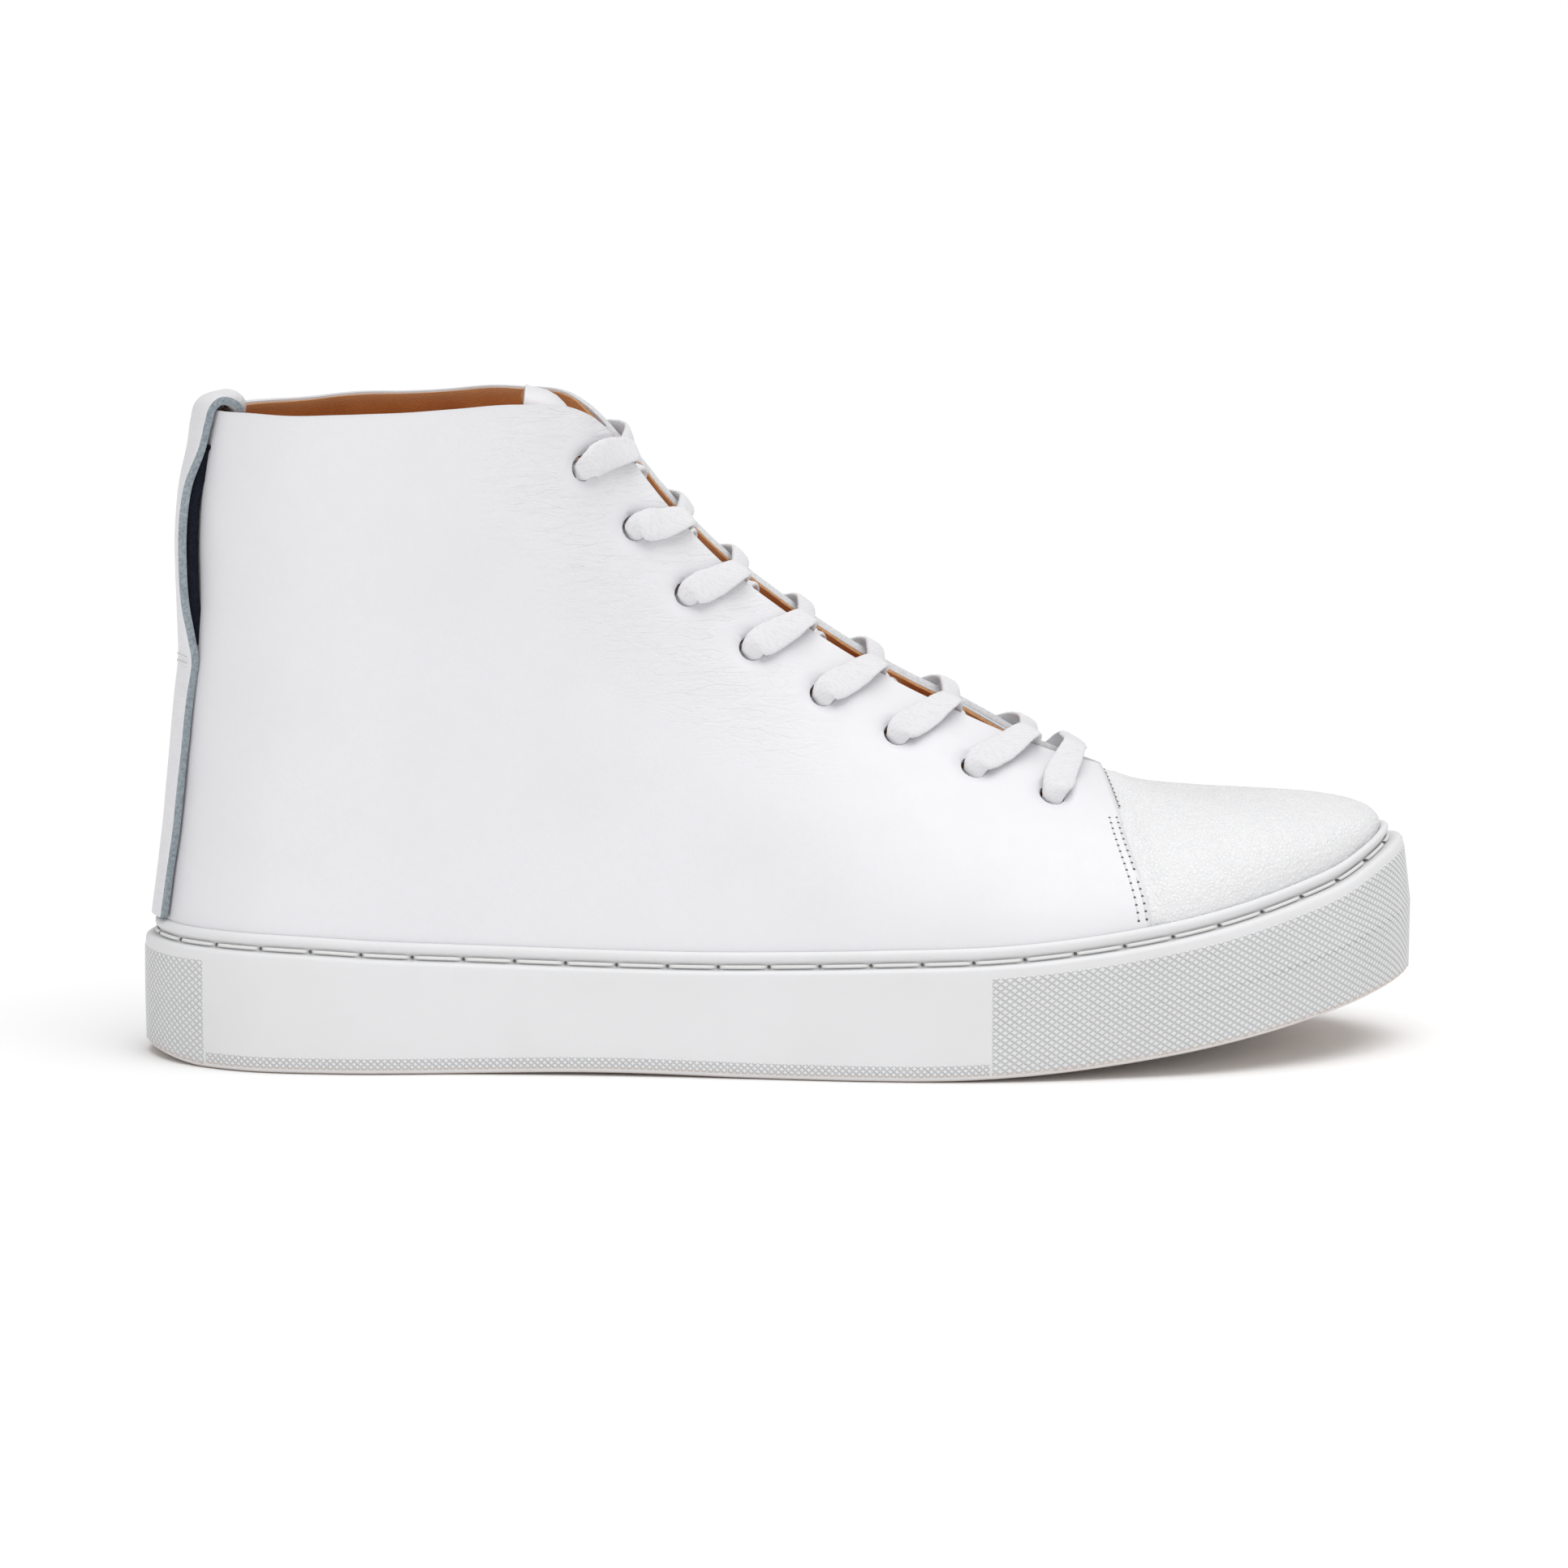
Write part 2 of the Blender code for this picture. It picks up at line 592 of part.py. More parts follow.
def make_lace():
    stops = lace_stops()
    route = Line([place for place, _, _ in stops])
    stop_at = route.at / route.span
    counts = np.maximum(np.round(np.diff(route.at) / 3.2).astype(int), 1)
    pieces = zip(stop_at, stop_at[1:], counts)
    at = np.concatenate([np.linspace(a, b, n + 1)[:-1] for a, b, n in pieces] + [[1]])
    places = route(at)
    ahead = np.gradient(places, axis=0)
    ahead /= np.linalg.norm(ahead, axis=1, keepdims=True)

    def along(values):
        return np.stack([np.interp(at, stop_at, column) for column in np.array(values, float).T], 1)

    away, size = along([normal for _, normal, _ in stops]), along([size for _, _, size in stops])
    across = np.cross(ahead, away)
    across /= np.linalg.norm(across, axis=1, keepdims=True)
    away = np.cross(across, ahead)
    rings = []
    for i, place in enumerate(places):
        rings.append([place + u * size[i, 0] * across[i] + v * size[i, 1] * away[i] for u, v in OCTAGON])
    loft("lace", np.array(rings), COTTON)
    for name, end, inward in (("lateral_aglet", 0, 1), ("medial_aglet", -1, -1)):
        direction = -inward * ahead[end]
        start = places[end] + direction * GAP
        cord(name, [start, start + direction * AGLET_LENGTH], AGLET_RADIUS, CLEAR, resolution=2)


def grid_normals(points):
    normal = np.cross(np.gradient(points, axis=0), np.gradient(points, axis=1))
    return normal / np.linalg.norm(normal, axis=-1, keepdims=True)


def tongue_grid():
    """Rows across the tongue, from its sewn base up to its tip."""
    rows = []
    for t in np.linspace(SEAM + 0.035, CORNER - 0.012, 13):
        lateral = [inset_point(LATERAL, t, inset, TONGUE_DEPTH) for inset in TONGUE_INSETS[::-1]]
        medial = [inset_point(MEDIAL, t, inset, TONGUE_DEPTH) for inset in TONGUE_INSETS]
        rows.append(Line(lateral + medial)(np.linspace(0, 1, 9)))
    rise = rows[-1].mean(axis=0) - rows[-3].mean(axis=0)
    rise /= np.linalg.norm(rise)
    middle = rows[-1].mean(axis=0)
    for distance, width in ((6, 0.97), (11, 0.95), (15.6, 0.89)):
        rows.append(middle + (rows[12] - middle) * (width, width, 1) + rise * distance)
    return np.array(rows)


def make_tongue():
    grid = tongue_grid()
    sheet("tongue", grid, TONGUE, TAN_LEATHER, flip=True)
    top = grid[-7:]
    outer = top - grid_normals(top) * (TONGUE_TIP + GAP)
    sheet("tongue_tip", outer, TONGUE_TIP, WHITE_LEATHER, flip=True)


# ---- The heel strap and the seams ---------------------------------------------------------

def heel_face(s, across):
    """A point of the upper's outer face near the heel's middle, at a distance across it."""
    side = LATERAL if across < 0 else MEDIAL
    t = np.linspace(1, 0.86, 60)
    line = upper_point(side, t, np.full_like(t, s))
    near = np.interp(abs(across), np.abs(line[:, 1]), np.arange(len(t)))
    return np.array([np.interp(near, np.arange(len(t)), line[:, k]) for k in range(3)])


def make_heel_strap():
    """A strip from inside the collar, over its edge, down in a pull loop and on to the sole."""
    inside = LINING_DEPTH + LINING + 2 * GAP
    top = top_point(LATERAL, 1.0)[2]
    # Each row is the height of the strap's inner face, how far it stands behind the heel's
    # outer face, and how much of the heel's roundness it follows.
    rows = [
        (top - 22, -inside, 0.8), (top - 12, -inside, 0.8), (top - 3, -inside, 0.8),
        (top + 0.2, -inside + 0.4, 0.8), (top + 1.2, -inside + 1.9, 0.8), (top + 1.4, -1.2, 0.8),
        (top + 0.3, 0.5, 0.9), (top - 3, 1.0, 0.9), (top - 9, 1.0, 0.8), (top - 18, LOOP_OFF, 0.45),
        (top - 32, LOOP_OFF + 0.4, 0.35), (top - 46, LOOP_OFF, 0.45), (top - 54, 1.1, 0.8),
        (top - 58, 0.7, 1),
        (top - 68, 0.7, 1), (top - 82, 0.7, 1), (top - 98, 0.7, 1), (top - 112, 0.7, 1),
        (rim_height(-150) + 0.6, 0.7, 1),
    ]
    widths = np.linspace(-STRAP_HALF, STRAP_HALF, 7)
    heights = np.linspace(0, 1, 81)
    heel = np.array([heel_face(s, 0) for s in heights])
    face = []
    for z, out, follow in rows:
        s = np.interp(z, heel[:, 2], heights)
        middle = heel_face(s, 0)[0]
        curve = [heel_face(s, y)[0] - middle for y in widths]
        face.append([(middle - out + follow * bend, y, z) for y, bend in zip(widths, curve)])
    face = np.array(face)
    normal = grid_normals(face)
    if normal[-1, 3, 0] > 0:
        normal = -normal
    sheet("heel_strap", face + normal * STRAP, STRAP, WHITE_LEATHER, flip=True)
    pinch = face[13] + normal[13] * (STRAP + SEAM_THREAD + 0.15)
    cord("strap_thread", pinch[1:-1], SEAM_THREAD, THREAD)


def make_seams():
    for side, word in ((LATERAL, "lateral"), (MEDIAL, "medial")):
        s = np.linspace(0.03, 0.68, 12)
        front, back = SEAM + 0.007, SEAM + 0.014
        up_row = upper_at(side, np.full_like(s, front), s, -0.6 + 0 * s)
        down_row = upper_at(side, np.full_like(s, back), s[::-1], -0.6 + 0 * s)
        cord(word + "_toe_seam_thread", np.vstack([up_row, down_row]), SEAM_THREAD, THREAD)
    s = np.linspace(0.78, 1, 5)
    t = np.full_like(s, SEAM - 0.006)
    near, far = (upper_at(side, t, s, cap_depth(t, s) - 1.0) for side in (LATERAL, MEDIAL))
    cord("tongue_seam_thread", np.vstack([near, far[::-1][1:]]), SEAM_THREAD, THREAD)


def main():
    make_sole()
    make_fill()
    make_toe()
    make_half(LATERAL, "lateral")
    make_half(MEDIAL, "medial")
    make_counter()
    make_tongue()
    make_lace()
    make_heel_strap()
    make_seams()


main()
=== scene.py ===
"""Looks for a lace-up high-top shoe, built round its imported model.

Sizes are millimetres in the shoe's own design frame, +X to the toe, +Z up, +Y to the inner side.
place() turns them into the frame's metres.
"""

import math

import bmesh
import bpy
import numpy as np
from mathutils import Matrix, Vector, noise


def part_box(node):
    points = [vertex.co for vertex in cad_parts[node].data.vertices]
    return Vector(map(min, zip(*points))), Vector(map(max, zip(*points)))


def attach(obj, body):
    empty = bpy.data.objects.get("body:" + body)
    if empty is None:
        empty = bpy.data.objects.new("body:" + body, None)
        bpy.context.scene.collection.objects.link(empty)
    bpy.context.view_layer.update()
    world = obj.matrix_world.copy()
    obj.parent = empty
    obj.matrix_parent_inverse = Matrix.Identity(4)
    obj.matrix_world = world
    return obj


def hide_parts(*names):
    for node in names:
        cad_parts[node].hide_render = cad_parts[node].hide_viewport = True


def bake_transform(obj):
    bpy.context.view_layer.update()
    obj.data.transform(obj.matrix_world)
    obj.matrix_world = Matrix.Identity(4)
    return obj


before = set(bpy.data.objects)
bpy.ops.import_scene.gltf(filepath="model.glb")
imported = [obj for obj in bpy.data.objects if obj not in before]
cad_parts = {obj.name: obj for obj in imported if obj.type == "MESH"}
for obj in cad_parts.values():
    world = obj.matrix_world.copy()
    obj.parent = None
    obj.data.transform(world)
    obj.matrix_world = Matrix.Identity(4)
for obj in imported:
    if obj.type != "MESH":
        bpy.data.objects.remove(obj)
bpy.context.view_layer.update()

MM = 0.001
TO_CENTRE = np.array([-0.101, 2.984, 0.0])
LATERAL, MEDIAL = -1, 1
WORDS = {LATERAL: "lateral", MEDIAL: "medial"}

# ---- The shoe's surfaces, as the model has them ---------------------------------------------

# The line where the upper meets the sole, seen from above, once round from the heel.
FEATHER = [
    (-147.5, 0), (-143, -14), (-128, -27.5), (-105, -33), (-75, -34), (-40, -37.5),
    (-8, -43), (20, -48), (48, -50), (75, -47), (98, -41), (119, -30), (134, -17.5),
    (142.3, -5), (144.5, 4), (142, 14), (133, 25), (118, 35), (98, 41.5), (72, 44),
    (45, 42), (15, 36), (-15, 31.5), (-45, 31), (-75, 33), (-105, 33), (-128, 27.5), (-143, 14),
]

# Height of the sole's upper rim along the shoe, as (x, z).
RIM = [(-155, 32.5), (-125, 32.6), (-80, 30.6), (-20, 29.4), (20, 30.6), (57, 32.2),
       (81, 34.8), (105, 38.9), (121, 42.8), (132, 46), (145, 52), (160, 58)]

# Top edge of each half of the upper: up the lacing edge, round the collar, to the heel.
TOP_EDGE = [
    (77, 1.0, 67.6), (63, 6.4, 72.3), (44, 8.2, 80.6), (28, 8.6, 88.4), (13, 9.0, 97.4),
    (0, 9.2, 106.4), (-14, 9.6, 117.6), (-27.5, 10.2, 132), (-37.5, 11.2, 145.0),
    (-42, 14, 150.6), (-49, 19.5, 155.2), (-62, 25.5, 156.6), (-77, 28.3, 155.8),
    (-92, 28.6, 155.0), (-107, 26.2, 154.6), (-122, 19.5, 154.2), (-132.5, 9, 154.0),
    (-136, 0, 154.0),
]
TOE_SPINE = [(116, 3.6, 60.2), (106, 3.2, 60.4), (95, 2.4, 61.2), (86, 1.2, 63.4), (77, 0, 67.0)]

# Where the toe seam, the front of the collar and the heel lie along each half, 0 to 1.
SEAM, CORNER = 0.20, 0.58
INNER_LIFT = 2.2               # the inner facing's edge stands this much above the outer's
FEATHER_AT = (0, 0.252, 0.66, 1)
TOP_AT = (0, 0.575, 1)

GAP = 0.3                      # clearance between neighbouring layers
LEATHER, STAY, COUNTER, LINING = 1.6, 0.7, 1.0, 0.9
STAY_DEPTH = LEATHER + GAP + 0.1
LINING_DEPTH, THIN_LINING_DEPTH = STAY_DEPTH + COUNTER + GAP, STAY_DEPTH
LASTED = 16                    # how far the upper reaches down inside the sole

TREAD = 5                      # thickness of the sole under the foot
FILLER_DROP, BOARD, FOOTBED = 16.6, 2.0, 3.6
WALL_OUT = 4.2                 # how far the side wall stands outside the upper

EYELETS = 8
EYELET_INSET, TOP_INSET = 16.5, 12.5
EYELET_RADIUS = 3.1
EYELET_START, EYELET_PITCH = 15.8, 19.9
OVER_SKEW, UNDER_SKEW = 0.81, 0.38   # how far a lace run meets the edge nearer the toe, in pitches

TONGUE_DEPTH, TONGUE, TONGUE_TIP = 9.0, 1.4, 0.9
TONGUE_INSETS = (3, 13, 24)    # how far below the lacing edge the tongue's shape is taken

STRAP_HALF, STRAP = 9.5, 2.0
LOOP_OFF = 1.8                 # how far the pull loop stands off the heel


class Line:
    """A smooth line through a few points, read at 0 to 1 along its length."""

    def __init__(self, points, closed=False):
        points = np.array(points, float)
        if closed:
            points = np.vstack([points[-2:], points, points[:3]])
        steps = np.linalg.norm(np.diff(points, axis=0), axis=1)
        at = np.concatenate([[0], np.cumsum(steps)])
        slope = np.diff(points, axis=0) / steps[:, None]
        weight = steps[:, None]
        inner = (slope[:-1] * weight[1:] + slope[1:] * weight[:-1]) / (weight[:-1] + weight[1:])
        self.points, self.slopes = points, np.vstack([slope[:1], inner, slope[-1:]])
        first, last = (2, len(points) - 3) if closed else (0, len(points) - 1)
        self.at, self.span = at - at[first], at[last] - at[first]

    def __call__(self, where):
        where = np.asarray(where, float) * self.span
        i = np.clip(np.searchsorted(self.at, where, "right") - 1, 0, len(self.at) - 2)
        step = (self.at[i + 1] - self.at[i])[..., None]
        u = (where - self.at[i])[..., None] / step
        a, b = self.points[i], self.points[i + 1]
        da, db = self.slopes[i] * step, self.slopes[i + 1] * step
        return (a * (1 + 2 * u) * (1 - u) ** 2 + b * u * u * (3 - 2 * u)
                + da * u * (1 - u) ** 2 - db * u * u * (1 - u))


def ramp(value, low, high):
    """0 below low, 1 above high, and smooth between."""
    u = np.clip((np.asarray(value, float) - low) / (high - low), 0, 1)
    return u * u * (3 - 2 * u)


def blend(first, second, weight):
    return first + (second - first) * weight


def unit(vectors):
    return vectors / np.linalg.norm(vectors, axis=-1, keepdims=True)


def walk(line):
    """Distance along a line of points, at each of them."""
    return np.concatenate([[0], np.cumsum(np.linalg.norm(np.diff(line, axis=0), axis=1))])


def read(at, walked, values):
    """Reads a row of values for each point of a walked line at distances along it."""
    return np.stack([np.interp(at, walked, column) for column in np.asarray(values).T], -1)


def by_x(points):
    line = Line(points)
    table = line(np.linspace(0, 1, 400))
    return lambda x: np.interp(x, table[:, 0], table[:, 1])


rim_height = by_x(RIM)
feather_line = Line(FEATHER, closed=True)
TOE_AT = np.argmax(feather_line(np.linspace(0, 1, 2001))[:, 0]) / 2000


def sole_bottom(x):
    """Height of the tread: flat heel and ball, a shallow arch, toe spring and a bevelled heel."""
    x = np.asarray(x, float)
    spring = 17.5 * (np.clip(x - 25, 0, None) / 128) ** 1.9
    arch = 0.6 * np.sin(np.pi * np.clip((x + 88) / 90, 0, 1)) ** 2
    bevel = 2.4 * (np.clip(-138 - x, 0, None) / 14) ** 1.4
    return spring + arch + bevel


def plan(at, out):
    """The plan of the upper at the sole, moved outwards. It runs from 0 to 1 round from the heel."""
    here = feather_line(at)
    ahead = feather_line(np.clip(at + 0.001, 0, 1)) - feather_line(np.clip(at - 0.001, 0, 1))
    normal = unit(np.stack([ahead[..., 1], -ahead[..., 0]], -1))
    return here + normal * np.asarray(out, float)[..., None]


def round_sole(at, out=0.0):
    """The same plan, where a place past 1 starts again from the heel."""
    return plan(np.asarray(at, float) % 1, out)


def outline(side, along, out=0.0):
    """The same plan from the toe (0) to the heel (1) on one side."""
    return plan(blend(TOE_AT, 0 if side == LATERAL else 1, np.asarray(along, float)), out)


top_lines = {side: Line([(x, side * y, z) for x, y, z in TOP_EDGE]) for side in WORDS}
spine = Line(TOE_SPINE)
wall_lean = by_x([(0, 0), (0.2, 0.27), (0.4, 0.48), (0.6, 0.68), (0.8, 0.72), (0.92, 0.86), (1, 1)])


def top_point(side, t):
    """The upper's top edge: the ridge over the toe, then the lacing edge and the collar."""
    t = np.asarray(t, float)
    ridge = spine(np.clip(t / SEAM, 0, 1))
    edge = top_lines[side](np.interp(t, (SEAM, CORNER, 1), TOP_AT))
    if side == MEDIAL:
        lift = INNER_LIFT * ramp(t, 0.23, 0.30) * (1 - ramp(t, 0.53, CORNER))
        edge = edge + lift[..., None] * (0, 0, 1)
    return np.where((t < SEAM)[..., None], ridge, edge)


def upper_point(side, t, s):
    """A point of the upper's outer face: t from the toe to the heel, s from the sole up."""
    t, s = np.broadcast_arrays(np.asarray(t, float), np.asarray(s, float))
    along = np.interp(t, (0, SEAM, CORNER, 1), FEATHER_AT)
    foot_xy = outline(side, along)
    foot = np.concatenate([foot_xy, rim_height(foot_xy[..., 0])[..., None]], -1)
    top = top_point(side, t)
    up = np.clip(s, 0, 1)
    angle = up * np.pi / 2
    tent, wall = ramp(t, 0.08, 0.26), ramp(t, 0.35, 0.78)
    across = blend(blend(1 - np.cos(angle) ** 0.9, up ** 1.35, tent), wall_lean(up), wall)
    rise = blend(blend(np.sin(angle) ** 0.82, up ** 0.95, tent), up, wall)
    point = foot.copy()
    point[..., :2] += (top - foot)[..., :2] * across[..., None]
    point[..., 2] += (top - foot)[..., 2] * rise + np.minimum(s, 0) * LASTED
    return point


def upper_normal(side, t, s):
    t, s = np.broadcast_arrays(np.asarray(t, float), np.asarray(s, float))
    d = 0.004
    along = upper_point(side, np.clip(t + d, 0, 1), s) - upper_point(side, np.clip(t - d, 0, 1), s)
    low, high = np.clip(s, d, 1 - d) - d, np.clip(s, d, 1 - d) + d
    up = upper_point(side, t, high) - upper_point(side, t, low)
    return unit(np.cross(along, up) * side)


def upper_at(side, t, s, depth=0.0):
    return upper_point(side, t, s) - upper_normal(side, t, s) * np.asarray(depth, float)[..., None]


def below_edge(side, t, distance):
    """The height s at which the face of the upper is a distance below its top edge."""
    s = np.linspace(1, 0.2, 161)
    return np.interp(distance, walk(upper_point(side, np.full_like(s, t), s)), s)


def eyelet_inset(t):
    return blend(EYELET_INSET, TOP_INSET, ramp(t, CORNER - 0.07, CORNER))


def inset_point(side, t, inset, depth=0.0):
    """A point a distance below the top edge and a depth inside the upper's face."""
    return upper_at(side, t, below_edge(side, t, inset), depth)


def inset_normal(side, t, inset):
    return upper_normal(side, t, below_edge(side, t, inset))


def eyelet_stations(side):
    t = np.linspace(SEAM, CORNER + 0.03, 160)
    line = np.array([inset_point(side, one, eyelet_inset(one)) for one in t])
    return np.interp(EYELET_START + EYELET_PITCH * np.arange(EYELETS), walk(line), t)


def at_eyelets(side, find):
    return np.array([find(side, t, eyelet_inset(t)) for t in EYELET_T[side]])


EYELET_T = {side: eyelet_stations(side) for side in WORDS}
EYELET_AT = {side: at_eyelets(side, inset_point) for side in WORDS}
EYELET_FACING = {side: at_eyelets(side, inset_normal) for side in WORDS}


# ---- Materials -----------------------------------------------------------------------------

class Look:
    """A material: its Principled shader, and short ways to wire procedural nodes into it."""

    def __init__(self, name, colour, roughness, metallic=0.0, **sockets):
        self.material = bpy.data.materials.new(name)
        self.material.use_nodes = True
        self.tree = self.material.node_tree
        self.shader = self.tree.nodes["Principled BSDF"]
        self.set(self.shader, {"Base Color": (*colour, 1), "Roughness": roughness,
                               "Metallic": metallic})
        self.set(self.shader, {key.replace("_", " "): value for key, value in sockets.items()})
        self.height = None
        coordinates = self.tree.nodes.new("ShaderNodeTexCoord")
        self.position = self.node("ShaderNodeMapping", {"Vector": coordinates.outputs["Object"],
                                                        "Scale": (1000, 1000, 1000)}).outputs[0]

    def set(self, node, inputs):
        for key, value in inputs.items():
            if isinstance(value, bpy.types.NodeSocket):
                self.tree.links.new(value, node.inputs[key])
            else:
                node.inputs[key].default_value = value

    def node(self, kind, inputs=None, **settings):
        made = self.tree.nodes.new(kind)
        for key, value in settings.items():
            setattr(made, key, value)
        self.set(made, inputs or {})
        return made

    def noise(self, size, detail=2.0, rough=0.5, stretch=None, distortion=0.0):
        """Noise whose features are about size millimetres across, 0 to 1."""
        vector = self.position
        if stretch:
            vector = self.node("ShaderNodeMapping", {"Vector": vector, "Scale": stretch}).outputs[0]
        inputs = {"Vector": vector, "Scale": 1 / size, "Detail": detail, "Roughness": rough,
                  "Distortion": distortion}
        return self.node("ShaderNodeTexNoise", inputs).outputs[0]

    def cells(self, size):
        """Distance to the edge of cells about size millimetres across."""
        inputs = {"Vector": self.position, "Scale": 1 / size}
        made = self.node("ShaderNodeTexVoronoi", inputs, feature="DISTANCE_TO_EDGE")
        return made.outputs["Distance"]

    def attribute(self, name):
        return self.node("ShaderNodeAttribute", attribute_name=name).outputs["Fac"]

    def math(self, operation, first, second=0.0):
        made = self.node("ShaderNodeMath", operation=operation)
        self.set(made, {0: first, 1: second})
        return made.outputs[0]

    def spread(self, value, low, high, to_low=0.0, to_high=1.0):
        """Maps low..high to to_low..to_high, and holds the ends."""
        return self.node("ShaderNodeMapRange", {"Value": value, "From Min": low, "From Max": high,
                                                "To Min": to_low, "To Max": to_high}).outputs[0]

    def mix(self, weight, first, second):
        made = self.node("ShaderNodeMix", data_type="RGBA")
        self.set(made, {0: weight, 6: first, 7: second})
        return made.outputs[2]

    def tint(self, weight, colour):
        """Mixes a colour over the base colour, by a weight socket."""
        base = self.shader.inputs["Base Color"]
        under = base.links[0].from_socket if base.links else tuple(base.default_value)
        self.set(self.shader, {"Base Color": self.mix(weight, under, (*colour, 1))})

    def mottle(self, colour, size, detail, low, high, weight=1.0, rough=0.5):
        """Mixes a colour in patches: none where the noise is low, its whole weight where high."""
        self.tint(self.spread(self.noise(size, detail, rough), low, high, 0, weight), colour)

    def rough(self, size, detail, low, high, stretch=None):
        """Varies the roughness from low to high in patches of a size."""
        value = self.noise(size, detail, stretch=stretch)
        self.set(self.shader, {"Roughness": self.spread(value, 0.3, 0.7, low, high)})

    def relief(self, size, detail, rough, millimetres, stretch=None):
        self.raise_by(self.noise(size, detail, rough, stretch), millimetres)

    def pits(self, size, reach, millimetres):
        """Cells of a size with sunk lines between them, and returns their height."""
        height = self.spread(self.cells(size), 0, reach)
        self.raise_by(height, millimetres)
        return height

    def folds(self, size, detail, rough, stretch, distortion, width, millimetres):
        """Sunk branching lines where the crease attribute asks for them."""
        ridge = self.noise(size, detail, rough, stretch, distortion)
        line = self.spread(self.math("ABSOLUTE", self.math("SUBTRACT", ridge, 0.5)), 0, width)
        self.raise_by(self.math("MULTIPLY", line, self.attribute("crease")), millimetres)

    def raise_by(self, height, millimetres):
        """Adds a height from 0 to 1, as high as that, to the surface relief."""
        scaled = self.math("MULTIPLY", height, millimetres)
        self.height = scaled if self.height is None else self.math("ADD", self.height, scaled)

    def done(self):
        if self.height is not None:
            bump = self.node("ShaderNodeBump", {"Height": self.height, "Distance": MM, "Strength": 1.0})
            self.set(self.shader, {"Normal": bump.outputs[0]})
        return self.material


def smooth_leather():
    look = Look("smooth_white_leather", (0.79, 0.785, 0.81), 0.44, Specular_IOR_Level=0.45)
    look.mottle((0.755, 0.755, 0.775), 26, 3, 0.45, 0.75, 0.5)
    look.rough(5, 3, 0.38, 0.5)
    look.relief(0.32, 2, 0.6, 0.018)
    look.pits(0.55, 0.12, 0.010)
    look.relief(3.2, 3, 0.55, 0.02)
    look.folds(2.6, 3, 0.6, (0.28, 0.6, 1.5), 0.8, 0.06, 0.045)
    look.folds(5.5, 2, 0.5, (0.35, 0.5, 1.2), 1.2, 0.035, 0.06)
    # Darker along the quarters' top edge near the front of the collar, and painted shade along each
    # quarter's front edge where it lies over the toe cap.
    look.tint(look.attribute("edge"), (0.52, 0.53, 0.55))
    return look.done()


def grain_leather():
    look = Look("grained_white_leather", (0.82, 0.82, 0.83), 0.46, Specular_IOR_Level=0.45)
    look.rough(3, 3, 0.40, 0.54)
    pebble = look.pits(1.05, 0.28, 0.11)
    look.pits(0.5, 0.2, 0.022)
    look.relief(0.2, 2, 0.5, 0.012)
    # Painted shade in the furrows between the pebbles.
    look.tint(look.spread(pebble, 0.0, 0.35, 0.10, 0), (0.6, 0.6, 0.62))
    return look.done()


def cut_edge(name, colour, fleck):
    """The raw cut edge of leather: a fibrous, slightly darker band."""
    look = Look(name, colour, 0.85, Specular_IOR_Level=0.2)
    look.mottle(fleck, 0.7, 4, 0.4, 0.65, rough=0.7)
    look.relief(0.35, 4, 0.7, 0.12)
    return look.done()


def tan_leather():
    look = Look("tan_lining_leather", (0.56, 0.17, 0.035), 0.5, Specular_IOR_Level=0.4)
    look.mottle((0.43, 0.11, 0.018), 14, 4, 0.38, 0.68, 0.8, 0.6)
    look.mottle((0.64, 0.24, 0.07), 1.1, 3, 0.5, 0.75, 0.3, 0.6)
    look.rough(4, 3, 0.42, 0.6)
    look.pits(0.6, 0.2, 0.03)
    look.relief(2.2, 3, 0.5, 0.04)
    look.tint(look.attribute("edge"), (0.56, 0.27, 0.12))
    return look.done()


def rubber():
    look = Look("off_white_rubber", (0.76, 0.76, 0.77), 0.52, Specular_IOR_Level=0.4)
    look.mottle((0.725, 0.725, 0.73), 30, 3, 0.4, 0.7, 0.6)
    look.rough(1.4, 3, 0.46, 0.6)
    look.relief(0.5, 3, 0.6, 0.018)
    # Painted shade darkens the grooves of the knurling and the stitch groove under the bead.
    look.tint(look.attribute("groove"), (0.24, 0.24, 0.24))
    # A darker, warmer tint along the bottom edge of the sole and its knurling.
    look.tint(look.attribute("ground"), (0.60, 0.46, 0.36))
    return look.done()


def cotton():
    look = Look("white_woven_cotton", (0.79, 0.785, 0.80), 0.95, Specular_IOR_Level=0.15,
                Sheen_Weight=0.25, Sheen_Roughness=0.6)
    # Painted shade in the hollows of the weave.
    look.tint(look.attribute("hollow"), (0.60, 0.60, 0.63))
    look.relief(0.22, 3, 0.7, 0.10)
    return look.done()


def thread():
    look = Look("white_sewing_thread", (0.80, 0.80, 0.79), 0.7, Specular_IOR_Level=0.3)
    look.relief(0.18, 2, 0.5, 0.05)
    return look.done()


def navy_backing_and_shade():
    # Near-black: the navy backing cloth, darkened further to paint the shade in the gap behind the pull
    # loop.
    look = Look("navy_backing_and_shade_cloth", (0.006, 0.008, 0.015), 0.9, Specular_IOR_Level=0.2)
    look.mottle((0.011, 0.014, 0.026), 0.6, 2, 0.4, 0.6)
    look.relief(0.3, 2, 0.5, 0.06)
    return look.done()


def shadowed():
    look = Look("needle_hole_painted_shade", (0.09, 0.085, 0.085), 0.9, Specular_IOR_Level=0.1)
    look.tint(look.noise(0.3, 2), (0.16, 0.15, 0.15))
    return look.done()


